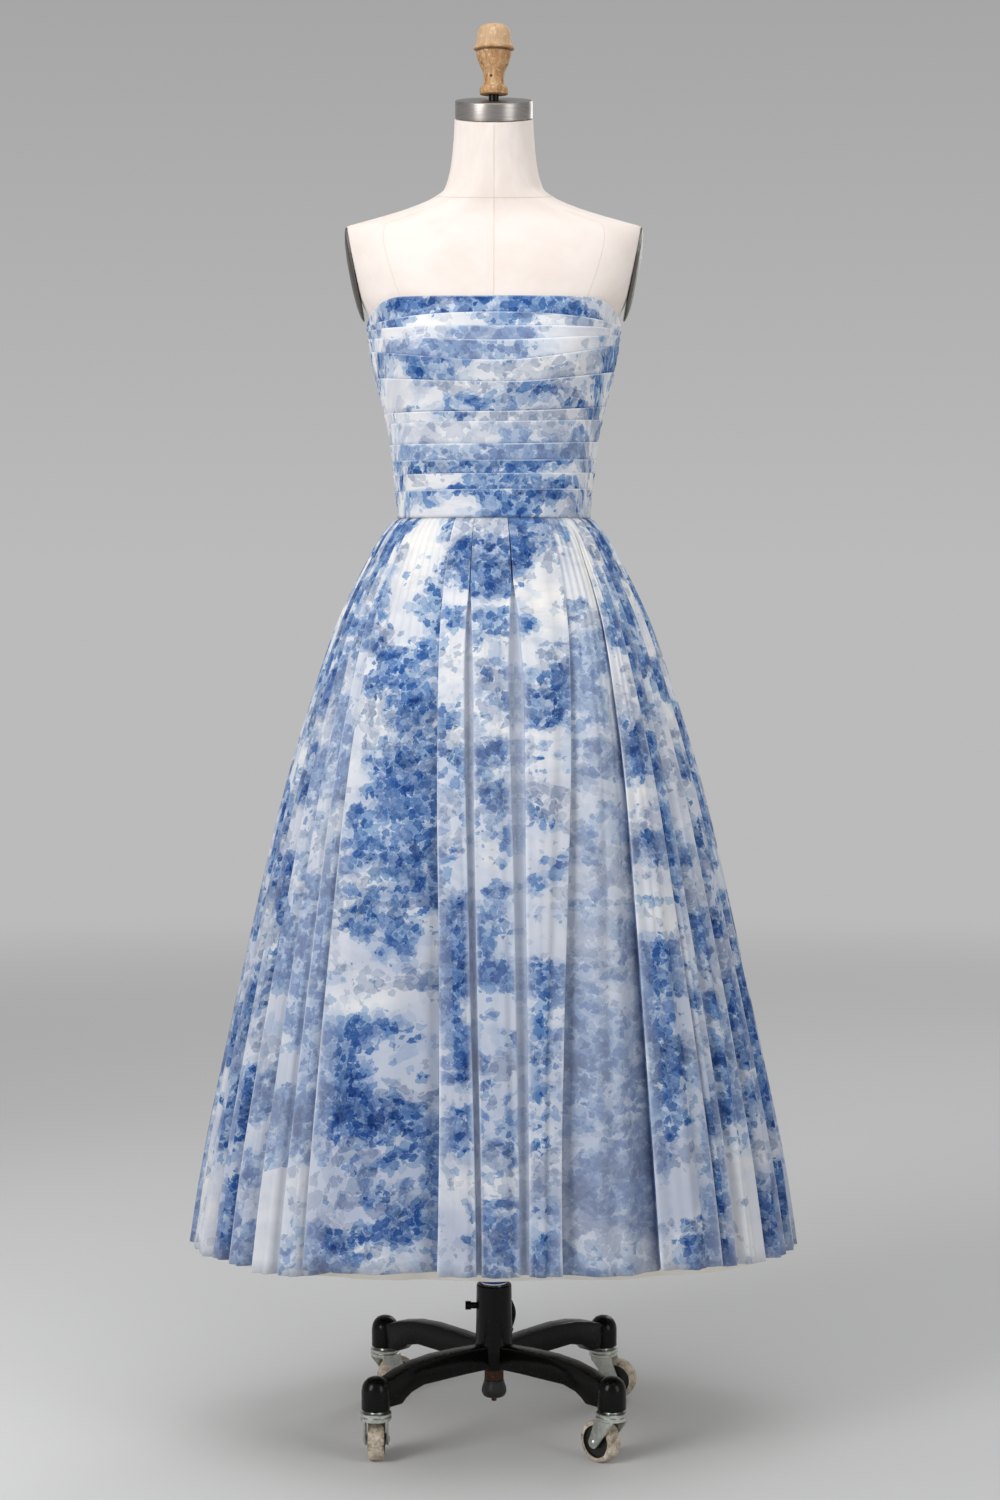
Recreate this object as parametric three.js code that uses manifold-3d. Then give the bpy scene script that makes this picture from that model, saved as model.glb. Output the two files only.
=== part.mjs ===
// Strapless midi dress on a limbless dress form, which stands on a wheeled iron base.
// Millimetres, +Z up, the front faces -Y, the origin is on the floor under the middle.
// An azimuth of 0 degrees is the front, 90 is the +X side and 180 is the back.

import * as THREE from "three";
import { mergeVertices } from "three/addons/utils/BufferGeometryUtils.js";
import Module from "manifold-3d";

const wasm = await Module();
wasm.setup();

// ---------------------------------------------------------------- driving dimensions

const GAP = 0.3; // between pieces that touch
const WAIST_Z = 1144;

// Skirt: outermost half width and half depth at each height, from waist to hem.
const SKIRT_PROFILE = [
  { z: 1144, half: 121, depth: 90 },
  { z: 1124, half: 138, depth: 103 },
  { z: 1085, half: 160, depth: 120 },
  { z: 1050, half: 178, depth: 133 },
  { z: 1009, half: 196, depth: 147 },
  { z: 925, half: 224, depth: 168 },
  { z: 812, half: 257, depth: 190 },
  { z: 665, half: 292, depth: 212 },
  { z: 492, half: 330, depth: 232 },
  { z: 337, half: 360, depth: 244 },
  { z: 229, half: 376, depth: 250 },
];
const SKIRT_HEM_Z = 237;
const SKIRT_HEM_LIFT = 9; // how much higher the hem is at the front
const SKIRT_LEVELS = [0, 0.04, 0.11, 0.22, 0.4, 0.6, 0.8, 1]; // share of the way down
const SKIRT_WALL = 2;

// The valley between each two folds: its azimuth at the waist and at the hem, and how deep
// it is at the hem. A fold lies between each two rows, and the list runs once round.
const VALLEYS = [
  { waist: -96, hem: -96, depth: 18 },
  { waist: -84, hem: -82, depth: 16 },
  { waist: -77, hem: -74, depth: 18 },
  { waist: -71, hem: -65.5, depth: 22 },
  { waist: -65.5, hem: -57.5, depth: 20 },
  { waist: -60.5, hem: -50, depth: 24 },
  { waist: -56, hem: -43, depth: 18 },
  { waist: -51.5, hem: -36.4, depth: 34 },
  { waist: -22, hem: -9.4, depth: 28 },
  { waist: -11, hem: -3, depth: 34 },
  { waist: 8, hem: 5.6, depth: 32 },
  { waist: 32, hem: 12, depth: 20 },
  { waist: 47, hem: 33, depth: 30 },
  { waist: 53, hem: 45.8, depth: 26 },
  { waist: 59, hem: 50.5, depth: 20 },
  { waist: 66, hem: 61, depth: 24 },
  { waist: 74, hem: 72, depth: 20 },
  { waist: 83, hem: 83, depth: 18 },
  { waist: 96, hem: 96, depth: 18 },
  { waist: 106, hem: 107, depth: 26 },
  { waist: 116, hem: 115, depth: 22 },
  { waist: 128, hem: 128, depth: 32 },
  { waist: 139, hem: 136, depth: 24 },
  { waist: 150, hem: 151, depth: 34 },
  { waist: 161, hem: 160, depth: 24 },
  { waist: 173, hem: 172, depth: 20 },
  { waist: 187, hem: 188, depth: 20 },
  { waist: 199, hem: 200, depth: 34 },
  { waist: 210, hem: 209, depth: 22 },
  { waist: 222, hem: 224, depth: 32 },
  { waist: 233, hem: 232, depth: 24 },
  { waist: 244, hem: 246, depth: 30 },
  { waist: 255, hem: 254, depth: 20 },
];
const WAIST_VALLEY_DEPTH = 2.4;
const VALLEY_REACH_WAIST = 2.4; // half the width of a valley's mouth
const VALLEY_REACH_HEM = 8.5;
const VALLEY_REACH_LIMIT = 0.3; // of the fold's width
const SHOULDER = 0.12; // of the valley's depth is left where its mouth ends
const WIDE_FOLD = 75; // a fold wider than this at the hem has three crest columns
const WIDE_CRESTS = [0.27, 0.5, 0.73];
const NARROW_CRESTS = [0.5];
const SEAM_DEGREES = 0.06; // left at each side seam of the bodice and the lining

// Lining: an ivory tube inside the skirt, sewn to it below the waist seam.
const LINING_TOP_Z = 1107;
const LINING_HEM_Z = 226;
const LINING_WALL = 1.6;
const LINING_WAVES = 14;
const LINING_WAVE_COLUMNS = 4;
const LINING_WAVE_DEPTH = 8;
const LINING_SEAM = 3.5; // behind the skirt's valleys at the top, where it is sewn in
const LINING_CLEARANCE = 6; // behind them from an eighth of the way down
const LINING_LEVELS = [0, 0.08, 0.2, 0.38, 0.68, 1];

// Dress form: half width, front and back depths from the axis, squareness and tilt of each ring.
const TORSO_RINGS = [
  { z: 820, half: 156, front: 98, back: 116, power: 2.2, tilt: 0 },
  { z: 880, half: 168, front: 103, back: 123, power: 2.2, tilt: 0 },
  { z: 940, half: 171, front: 104, back: 125, power: 2.2, tilt: 0 },
  { z: 1010, half: 158, front: 98, back: 112, power: 2.1, tilt: 0 },
  { z: 1080, half: 132, front: 89, back: 93, power: 2, tilt: 0 },
  { z: 1144, half: 115, front: 82.5, back: 80.5, power: 2, tilt: 0 },
  { z: 1200, half: 119.5, front: 88, back: 84, power: 2.1, tilt: 0 },
  { z: 1250, half: 126, front: 94, back: 87, power: 2.2, tilt: 0 },
  { z: 1300, half: 138, front: 101, back: 91, power: 2.2, tilt: 0 },
  { z: 1322, half: 143.5, front: 104, back: 93.5, power: 2.2, tilt: 0 },
  { z: 1345, half: 148, front: 105, back: 95, power: 2.2, tilt: 0 },
  { z: 1365, half: 150.5, front: 104, back: 96, power: 2.2, tilt: 0 },
  { z: 1385, half: 152.5, front: 101, back: 97, power: 2.3, tilt: 0 },
  { z: 1420, half: 168, front: 92, back: 98, power: 2.4, tilt: 0 },
  { z: 1460, half: 181, front: 80, back: 95, power: 2.4, tilt: 0 },
  { z: 1490, half: 187, front: 66, back: 85, power: 2.3, tilt: 0 },
  { z: 1503, half: 184, front: 57, back: 73, power: 2.2, tilt: 0 },
  { z: 1511, half: 160, front: 50, back: 64, power: 2.1, tilt: 0 },
  { z: 1519, half: 132, front: 46, back: 58, power: 2, tilt: 0 },
  { z: 1529, half: 101, front: 45, back: 55, power: 2, tilt: 0 },
  { z: 1540, half: 76, front: 46, back: 53, power: 2, tilt: 1 },
  { z: 1552, half: 61, front: 47, back: 51, power: 2, tilt: 3 },
  { z: 1582, half: 53, front: 47, back: 50, power: 2, tilt: 8 },
  { z: 1611, half: 50, front: 48, back: 49, power: 2, tilt: 12 },
  { z: 1637.5, half: 48.5, front: 48.5, back: 48.5, power: 2, tilt: 13.6 },
];
const TORSO_COLUMNS = 40;
const BUST = { z: 1342, height: 42, azimuth: 33, spread: 22, depth: 15 };
const NECK_TILT = 13.6; // degrees that the neck's top leans forward

// Bodice: plain inside, tucks raised outside. Each row is a tuck's fold edge, at the front,
// at both sides and at the back.
const BODICE_CLEARANCE = 2;
const BODICE_WALL = 1.7;
const NECKLINE = { front: 1411, side: 1383, back: 1371, turn: 36 };
const TUCKS = [
  { front: 1391, left: 1379.3, right: 1379.6, back: 1363 },
  { front: 1374, left: 1374.2, right: 1375.8, back: 1350 },
  { front: 1357, left: 1364, right: 1369, back: 1337 },
  { front: 1333, left: 1349, right: 1358, back: 1322 },
  { front: 1307, left: 1316, right: 1324, back: 1301 },
  { front: 1272, left: 1272, right: 1281, back: 1271 },
  { front: 1260, left: 1259, right: 1265, back: 1256 },
  { front: 1233, left: 1234, right: 1238, back: 1232 },
  { front: 1213.5, left: 1214, right: 1216, back: 1212 },
  { front: 1197.5, left: 1197, right: 1200, back: 1196 },
  { front: 1178.5, left: 1176, right: 1180, back: 1177 },
];
const TUCK_HEIGHT = 2.2; // how far a tuck's fold edge stands out
const TUCK_FOOT = 0.2; // what is left of it where the next tuck covers it
const TUCK_EDGE = 0.8; // half the height of the step at a fold edge
const BODICE_INNER_ROWS = 10;
const BODICE_STEP = 9; // degrees between columns

// Neck cap, stud and turned finial.
const CAP = { radius: 48, height: 22, chamfer: 1.6, topZ: 1660.5 };
const STUD_RADIUS = 6.5;
const FINIAL_Z = 1667.5;
const FINIAL_OUTLINE = [
  [0, 0],
  [15.5, 0],
  [17.4, 2.5],
  [17.4, 9],
  [12.4, 13],
  [12.2, 22],
  [14, 30],
  [19.5, 39],
  [21.6, 51],
  [25.2, 54.5],
  [25.2, 58],
  [21.8, 61],
  [20.4, 73],
  [17.4, 81.5],
  [11.5, 86.5],
  [0, 87.5],
];

// Arm plates: domed ovals on the flat sides where the arms would start.
const ARM_PLATE = { topX: 182, topZ: 1506, lowX: 160, lowZ: 1388, depth: 40, thick: 2, dome: 6 };
const ARM_PLATE_Y = 7;
const SHAVING = { thick: 60, width: 240, above: 60 }; // cut away outside the arm plane

// Zip pull at the centre back.
const ZIP_DROP = 10; // slider's middle below the top edge
const SLIDER = { width: 6, thick: 3, height: 10 };
const PULL = { width: 5.5, thick: 1.2, length: 22 };

// Bottom board, flange and pole.
const BOARD = { half: 138, depth: 88, top: 819.7, thick: 12, sides: 32 };
const FLANGE = { radius: 46, thick: 10, collar: 24, drop: 40 };
const POLE_RADIUS = 17;
const POLE_BORE = 17.4;
const POLE_LOW_Z = 80;
const POLE_TOP_Z = 799;

// Plug that closes the pole's foot, with a flared rubber bumper round it.
const PLUG = { radius: 12, low: 64.3, stemRadius: 3.2, stemLow: 36.5 };
const BUMPER_OUTLINE = [
  [8, 41],
  [13.2, 43],
  [15.8, 48],
  [15.2, 54],
  [12.8, 61],
  [12.4, 64],
];

// Base: four arched legs at 45 degrees, each with a domed boss at its end.
const BOSS_OFFSET = 142.5; // of each boss from the axis, along X and along Y
const LEG_WIDTH = 22;
const LEG_BEVEL = 3;
const LEG_OUTLINE = [
  [12, 81],
  [58, 82.5],
  [130, 84],
  [150, 79.5],
  [160, 74],
  [167, 68],
  [196, 68],
  [196, 97],
  [184, 102],
  [164, 108],
  [138, 113],
  [105, 115],
  [60, 113.5],
  [12, 110],
];
const BOSS_OUTLINE = [
  [0, 67],
  [16.2, 67],
  [17.5, 68.5],
  [17.5, 90],
  [15.4, 98.5],
  [9.5, 105],
  [0, 107],
];
const HUB_OUTLINE = [
  [20, 79],
  [23, 83],
  [25, 104],
  [22.8, 120],
  [22, 183.5],
  [21, 185],
];
const HUB_SIDES = 24;
const BOSS_SIDES = 16;

// Screw that clamps the pole, and the lever behind the hub that releases it.
const SCREW = { z: 157, radius: 4.1, bore: 4.6, reach: 36, head: 5.6, headWidth: 7 };
const LEVER = { azimuth: 130, seat: 23, foot: 125, top: 160, stand: 6, width: 9, thick: 3.2 };
const LUG = { reach: 29, low: 117, gap: 0.8 }; // under the lever's foot, on the hub

// Casters.
const WHEEL_RADIUS = 25.5;
const WHEEL_WIDTH = 20;
const TRAIL = 18;
const AXLE_RADIUS = 3;
const FORK_INSIDE = 12.2;
const FORK_PLATE = 2.5;
const FORK_BACK = -13; // edges of its plates, along the trail
const FORK_FRONT = 15.5;
const FORK_END = 7.5; // radius round the axle
const RIVET = { radius: 3.8, height: 2, sunk: 0.4 };
const CROWN = { radius: 19, low: 54.6, top: 59.7 };
const RACEWAY = { radius: 19, low: 60, top: 64.2, neck: 11 };
const CASTERS = [
  { name: "front_left", x: -1, y: -1, heading: 90 },
  { name: "front_right", x: 1, y: -1, heading: 135 },
  { name: "back_right", x: 1, y: 1, heading: -18 },
  { name: "back_left", x: -1, y: 1, heading: 38 },
];

// ---------------------------------------------------------------- materials

function finish(color, roughness, metalness) {
  return new THREE.MeshStandardMaterial({ color, roughness, metalness });
}

const printedTulle = finish(0xa9bbdc, 0.75, 0);
const printedCotton = finish(0xb9c7e2, 0.7, 0);
const ivoryLining = finish(0xe9e3d6, 0.8, 0);
const creamLinen = finish(0xe8ded2, 0.9, 0);
const brushedSteel = finish(0xa7a3a0, 0.35, 1);
const chrome = finish(0xc9ccd2, 0.12, 1);
const blackIron = finish(0x14130f, 0.45, 0.5);
const zinc = finish(0xa9ada6, 0.4, 1);
const turnedWood = finish(0xc39a67, 0.7, 0);
const blackRubber = finish(0x171614, 0.8, 0);
const wheelRubber = finish(0x8f857a, 0.85, 0);
const plywood = finish(0xb58d5f, 0.75, 0);

const model = new THREE.Group();

function add(name, geometry, material, parent = model) {
  const mesh = new THREE.Mesh(geometry, material);
  mesh.name = name;
  parent.add(mesh);
  return mesh;
}

// ---------------------------------------------------------------- geometry helpers

const rad = THREE.MathUtils.degToRad;
const lerp = THREE.MathUtils.lerp;
const smooth = THREE.MathUtils.smoothstep;

// A monotone cubic through rows of { z, key }, in any order of z.
function curveThrough(rows, key) {
  const sorted = [...rows].sort((a, b) => a.z - b.z);
  const z = sorted.map((row) => row.z);
  const value = sorted.map((row) => row[key]);
  const last = z.length - 1;
  const chord = z.slice(1).map((next, i) => (value[i + 1] - value[i]) / (next - z[i]));
  const slope = value.map((_, i) => {
    if (i === 0) return chord[0];
    if (i === last) return chord[last - 1];
    const product = chord[i - 1] * chord[i];
    return product <= 0 ? 0 : (2 * product) / (chord[i - 1] + chord[i]);
  });
  return (at) => {
    const i = Math.min(last - 1, Math.max(0, z.findLastIndex((low) => low <= at)));
    const span = z[i + 1] - z[i];
    const t = THREE.MathUtils.clamp((at - z[i]) / span, 0, 1);
    const rise = value[i + 1] - value[i];
    const bend = (slope[i] * (1 - t) - slope[i + 1] * t) * span + rise * (2 * t - 1);
    return value[i] + rise * t + t * (1 - t) * bend;
  };
}

function signedVolume(geometry) {
  const place = geometry.getAttribute("position");
  const index = geometry.getIndex();
  const [a, b, c] = [new THREE.Vector3(), new THREE.Vector3(), new THREE.Vector3()];
  let volume = 0;
  for (let i = 0; i < index.count; i += 3) {
    a.fromBufferAttribute(place, index.getX(i));
    b.fromBufferAttribute(place, index.getX(i + 1));
    c.fromBufferAttribute(place, index.getX(i + 2));
    volume += a.dot(b.cross(c)) / 6;
  }
  return volume;
}

// One closed body with shared vertices and its faces pointing out.
function closed(source) {
  const bare = source.clone();
  bare.deleteAttribute("normal");
  bare.deleteAttribute("uv");
  const geometry = mergeVertices(bare, 1e-3);
  const kept = [];
  const index = geometry.getIndex();
  for (let i = 0; i < index.count; i += 3) {
    const [a, b, c] = [index.getX(i), index.getX(i + 1), index.getX(i + 2)];
    if (a !== b && b !== c && c !== a) kept.push(a, b, c);
  }
  geometry.setIndex(kept);
  if (signedVolume(geometry) < 0) {
    for (let i = 0; i < kept.length; i += 3) [kept[i], kept[i + 1]] = [kept[i + 1], kept[i]];
    geometry.setIndex(kept);
  }
  geometry.computeVertexNormals();
  return geometry;
}

function fromTriangles(points, triangles) {
  const geometry = new THREE.BufferGeometry();
  const flat = points.flatMap((p) => [p.x, p.y, p.z]);
  geometry.setAttribute("position", new THREE.Float32BufferAttribute(flat, 3));
  geometry.setIndex(triangles);
  return closed(geometry);
}

// Triangles between two open runs of point numbers, which may differ in length.
function bridge(first, second) {
  const triangles = [];
  let i = 0;
  let j = 0;
  while (i < first.length - 1 || j < second.length - 1) {
    const aheadFirst = (i + 1) / (first.length - 1);
    const aheadSecond = (j + 1) / (second.length - 1);
    if (j === second.length - 1 || (i < first.length - 1 && aheadFirst <= aheadSecond)) {
      triangles.push(first[i], first[i + 1], second[j]);
      i += 1;
    } else {
      triangles.push(first[i], second[j + 1], second[j]);
      j += 1;
    }
  }
  return triangles;
}

// A wall between an outer and an inner grid of points, given as rows of columns.
function wall(outer, inner) {
  const points = [...outer.flat(), ...inner.flat()];
  const columns = outer[0].length;
  const outerRow = outer.map((_, r) => outer[0].map((_, c) => r * columns + c));
  const start = outer.length * columns;
  const innerRow = inner.map((_, r) => inner[0].map((_, c) => start + r * columns + c));
  const column = (rows, c) => rows.map((row) => row[c]);
  const flip = (triangles) => triangles.toReversed();
  const triangles = [];
  for (let r = 0; r < outer.length - 1; r += 1) {
    triangles.push(...bridge(outerRow[r], outerRow[r + 1]));
  }
  for (let r = 0; r < inner.length - 1; r += 1) {
    triangles.push(...flip(bridge(innerRow[r], innerRow[r + 1])));
  }
  triangles.push(...flip(bridge(outerRow[0], innerRow[0])));
  triangles.push(...bridge(outerRow.at(-1), innerRow.at(-1)));
  triangles.push(...bridge(column(outerRow, 0), column(innerRow, 0)));
  triangles.push(...flip(bridge(column(outerRow, columns - 1), column(innerRow, columns - 1))));
  return fromTriangles(points, triangles);
}

// A closed loft through rings of equal length, with flat ends.
function loft(rings) {
  const count = rings[0].length;
  const points = rings.flat();
  const triangles = [];
  for (let r = 0; r < rings.length - 1; r += 1) {
    for (let c = 0; c < count; c += 1) {
      const next = (c + 1) % count;
      const [a, b] = [r * count + c, r * count + next];
      const [d, e] = [a + count, b + count];
      triangles.push(a, b, e, a, e, d);
    }
  }
  const top = (rings.length - 1) * count;
  for (let c = 1; c < count - 1; c += 1) {
    triangles.push(0, c + 1, c, top, top + c, top + c + 1);
  }
  return fromTriangles(points, triangles);
}

// A turned body: [radius, height] pairs about the Z axis.
function turned(outline, sides) {
  const profile = outline.map(([radius, height]) => new THREE.Vector2(radius, height));
  return closed(new THREE.LatheGeometry(profile, sides).rotateX(Math.PI / 2));
}

function ring(bore, outline, sides) {
  const low = outline[0][1];
  const high = outline.at(-1)[1];
  return turned([[bore, low], ...outline, [bore, high], [bore, low]], sides);
}

function disc(radius, low, top, sides) {
  return turned([[0, low], [radius, low], [radius, top], [0, top]], sides);
}

// An outline in the XZ plane, extruded along Y and centred on it.
function plate(outline, width, bevel = 0) {
  const shape = new THREE.Shape(outline.map(([x, z]) => new THREE.Vector2(x, z)));
  const options = {
    depth: width - 2 * bevel,
    bevelEnabled: bevel > 0,
    bevelThickness: bevel,
    bevelSize: bevel,
    bevelOffset: -bevel,
    bevelSegments: 1,
    curveSegments: 6,
  };
  const geometry = new THREE.ExtrudeGeometry(shape, options);
  geometry.translate(0, 0, bevel - width / 2);
  return closed(geometry.rotateX(Math.PI / 2));
}

function arc(x, z, radius, from, to, steps) {
  return Array.from({ length: steps + 1 }, (_, i) => {
    const angle = rad(lerp(from, to, i / steps));
    return [x + radius * Math.cos(angle), z + radius * Math.sin(angle)];
  });
}

function toSolid(geometry) {
  const vertProperties = new Float32Array(geometry.getAttribute("position").array);
  const triVerts = new Uint32Array(geometry.getIndex().array);
  return new wasm.Manifold(new wasm.Mesh({ numProp: 3, vertProperties, triVerts }));
}

function toGeometry(solid) {
  const { vertProperties, triVerts } = solid.getMesh();
  const geometry = new THREE.BufferGeometry();
  geometry.setAttribute("position", new THREE.BufferAttribute(new Float32Array(vertProperties), 3));
  geometry.setIndex([...triVerts]);
  return closed(geometry);
}

function joined(...geometries) {
  return toGeometry(geometries.map(toSolid).reduce((whole, piece) => whole.add(piece)));
}

function cut(geometry, ...tools) {
  return toGeometry(tools.map(toSolid).reduce((rest, tool) => rest.subtract(tool), toSolid(geometry)));
}

// ---------------------------------------------------------------- skirt

const skirtHalf = curveThrough(SKIRT_PROFILE, "half");
const skirtDepth = curveThrough(SKIRT_PROFILE, "depth");

function hemAt(azimuth, side) {
  return side + SKIRT_HEM_LIFT * Math.max(0, Math.cos(rad(azimuth))) ** 1.5;
}

function fallOf(azimuth, share, top, side) {
  return lerp(top, hemAt(azimuth, side), share);
}

function skirtEllipse(azimuth, z, inset = 0) {
  const x = (skirtHalf(z) - inset) * Math.sin(rad(azimuth));
  const y = -(skirtDepth(z) - inset) * Math.cos(rad(azimuth));
  return new THREE.Vector3(x, y, z);
}

function valleyAzimuth(valley, share) {
  return valley.hem + (valley.waist - valley.hem) * (1 - share) ** 2;
}

function valleyDepth(hemDepth, share) {
  return lerp(WAIST_VALLEY_DEPTH, hemDepth, share ** 0.8);
}

// Millimetres of skirt for each degree of azimuth.
function arcPerDegree(azimuth, z) {
  const a = rad(azimuth);
  return rad(1) * Math.hypot(skirtHalf(z) * Math.cos(a), skirtDepth(z) * Math.sin(a));
}

// The columns of one fold at one level: its left valley, shoulders and crests.
function foldColumns(index, share, z) {
  const valley = VALLEYS[index];
  const next = VALLEYS[(index + 1) % VALLEYS.length];
  const turn = index === VALLEYS.length - 1 ? 360 : 0;
  const left = valleyAzimuth(valley, share);
  const right = valleyAzimuth(next, share) + turn;
  const middle = (left + right) / 2;
  const scale = arcPerDegree(middle, z);
  const width = (right - left) * scale;
  const mouth = lerp(VALLEY_REACH_WAIST, VALLEY_REACH_HEM, share);
  const reach = Math.min(mouth, VALLEY_REACH_LIMIT * width) / scale;
  const hemWidth = (next.hem + turn - valley.hem) * arcPerDegree(middle, SKIRT_HEM_Z);
  const crests = hemWidth > WIDE_FOLD ? WIDE_CRESTS : NARROW_CRESTS;
  const leftDepth = valleyDepth(valley.depth, share);
  const rightDepth = valleyDepth(next.depth, share);
  return [
    { azimuth: left, inset: leftDepth },
    { azimuth: left + reach, inset: SHOULDER * leftDepth },
    ...crests.map((u) => ({ azimuth: lerp(left, right, u), inset: 0, seam: u === 0.5 })),
    { azimuth: right - reach, inset: SHOULDER * rightDepth },
  ];
}

// Points moved sideways by a distance along the normals of a closed plan outline.
function offsetOutline(points, distance) {
  const count = points.length;
  return points.map((point, i) => {
    const before = points[(i + count - 1) % count];
    const after = points[(i + 1) % count];
    const first = new THREE.Vector2(point.x - before.x, point.y - before.y).normalize();
    const second = new THREE.Vector2(after.x - point.x, after.y - point.y).normalize();
    const normal = new THREE.Vector2(first.y + second.y, -first.x - second.x).normalize();
    const share = Math.max(0.5, normal.dot(new THREE.Vector2(first.y, -first.x)));
    const far = distance / share;
    return new THREE.Vector3(point.x + normal.x * far, point.y + normal.y * far, point.z);
  });
}

// The panel between two seam columns, with half of the seam's gap left at each end.
function panelRows(rows, from, to) {
  return rows.map((row) => {
    const count = row.length;
    const length = ((to - from + count) % count) + 1;
    const panel = Array.from({ length }, (_, i) => row[(from + i) % count].clone());
    const shift = (end, neighbour) => {
      const along = neighbour.clone().sub(end).normalize();
      end.addScaledVector(along, GAP / 2);
    };
    shift(panel[0], panel[1]);
    shift(panel.at(-1), panel.at(-2));
    return panel;
  });
}

function addSkirt() {
  const levels = SKIRT_LEVELS.map((share) => {
    const roughZ = lerp(WAIST_Z, SKIRT_HEM_Z, share);
    const columns = VALLEYS.flatMap((_, index) => foldColumns(index, share, roughZ));
    const middle = columns.map(({ azimuth, inset }) => {
      const z = fallOf(azimuth, share, WAIST_Z - GAP / 2, SKIRT_HEM_Z);
      return skirtEllipse(azimuth, z, inset + SKIRT_WALL / 2);
    });
    const outer = offsetOutline(middle, SKIRT_WALL / 2);
    const inner = offsetOutline(middle, -SKIRT_WALL / 2);
    return { columns, outer, inner };
  });
  const seams = [-90, 90, 180].map((azimuth) => {
    const off = ({ azimuth: at, seam }) => (seam ? Math.abs(at - azimuth) : 999);
    const columns = levels.at(-1).columns;
    return columns.reduce((best, column, i) => (off(column) < off(columns[best]) ? i : best), 0);
  });
  const outer = levels.map((level) => level.outer);
  const inner = levels.map((level) => level.inner);
  const [left, right, back] = seams;
  const panels = {
    skirt_front: [left, right],
    skirt_back_right: [right, back],
    skirt_back_left: [back, left],
  };
  for (const [name, [from, to]] of Object.entries(panels)) {
    add(name, wall(panelRows(outer, from, to), panelRows(inner, from, to)), printedTulle);
  }
}

// ---------------------------------------------------------------- lining

function liningPoint(azimuth, share, out) {
  const z = fallOf(azimuth, share, LINING_TOP_Z, LINING_HEM_Z);
  const deepest = Math.max(...VALLEYS.map((valley) => valley.depth));
  const down = Math.min(1, (WAIST_Z - z) / (WAIST_Z - SKIRT_HEM_Z));
  const clearance = lerp(LINING_SEAM, LINING_CLEARANCE, Math.min(1, 8 * share));
  const behindSkirt = valleyDepth(deepest, down) + clearance;
  const wave = LINING_WAVE_DEPTH * share * (1 - Math.cos(rad(azimuth * LINING_WAVES))) / 2;
  return skirtEllipse(azimuth, z, behindSkirt + wave + LINING_WALL * (1 - out));
}

function addLining() {
  const half = (LINING_WAVES * LINING_WAVE_COLUMNS) / 2;
  for (const [name, centre] of [["lining_front", 0], ["lining_back", 180]]) {
    const azimuths = Array.from({ length: half + 1 }, (_, i) => {
      return centre + lerp(-90 + SEAM_DEGREES, 90 - SEAM_DEGREES, i / half);
    });
    const grid = (out) => LINING_LEVELS.map((share) => azimuths.map((a) => liningPoint(a, share, out)));
    add(name, wall(grid(1), grid(0)), ivoryLining);
  }
}

// ---------------------------------------------------------------- dress form

const torso = Object.fromEntries(
  ["half", "front", "back", "power", "tilt"].map((key) => [key, curveThrough(TORSO_RINGS, key)]),
);

function torsoPoint(azimuth, z, out = 0) {
  const [s, c] = [Math.sin(rad(azimuth)), Math.cos(rad(azimuth))];
  const bend = 2 / torso.power(z);
  const x = (torso.half(z) + out) * Math.sign(s) * Math.abs(s) ** bend;
  const depth = (c > 0 ? torso.front(z) : torso.back(z)) + out;
  const fold = THREE.MathUtils.euclideanModulo(azimuth + 180, 360) - 180;
  const across = Math.exp(-(((Math.abs(fold) - BUST.azimuth) / BUST.spread) ** 2));
  const bust = BUST.depth * across * Math.exp(-(((z - BUST.z) / BUST.height) ** 2));
  const y = -depth * Math.sign(c) * Math.abs(c) ** bend - bust;
  return new THREE.Vector3(x, y, z + y * Math.tan(rad(torso.tilt(z))));
}

function armPlaneTilt() {
  return Math.atan2(ARM_PLATE.topX - ARM_PLATE.lowX, ARM_PLATE.topZ - ARM_PLATE.lowZ);
}

// Places a body whose +X face is flat against the arm plane of one side.
function ontoArmPlane(geometry, side) {
  const middleX = (ARM_PLATE.topX + ARM_PLATE.lowX) / 2;
  const middleZ = (ARM_PLATE.topZ + ARM_PLATE.lowZ) / 2;
  geometry.rotateY(armPlaneTilt());
  geometry.translate(middleX, ARM_PLATE_Y, middleZ);
  if (side < 0) geometry.scale(-1, 1, 1);
  return closed(geometry);
}

function addTorso() {
  const rings = TORSO_RINGS.map(({ z }) =>
    Array.from({ length: TORSO_COLUMNS }, (_, c) => torsoPoint((c * 360) / TORSO_COLUMNS, z)),
  );
  const { thick, width, above } = SHAVING;
  const height = ARM_PLATE.topZ - ARM_PLATE.lowZ + above;
  const shavings = [-1, 1].map((side) => {
    const block = new THREE.BoxGeometry(thick, width, height).translate(thick / 2, 0, above / 2);
    return ontoArmPlane(block, side);
  });
  add("torso", cut(loft(rings), ...shavings), creamLinen);
}

function addArmPlates() {
  const tall = (ARM_PLATE.topZ - ARM_PLATE.lowZ) / 2;
  const { thick, dome, depth } = ARM_PLATE;
  const outline = [
    [0, 0],
    [1, 0],
    [1, thick],
    [0.9, thick + 0.35 * dome],
    [0.7, thick + 0.7 * dome],
    [0.4, thick + 0.93 * dome],
    [0, thick + dome],
  ];
  for (const [name, side] of [["arm_plate_left", -1], ["arm_plate_right", 1]]) {
    const oval = turned(outline, 28).scale(tall, depth, 1);
    const upright = oval.rotateY(Math.PI / 2).translate(GAP, 0, 0);
    add(name, ontoArmPlane(upright, side), brushedSteel);
  }
}

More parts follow.
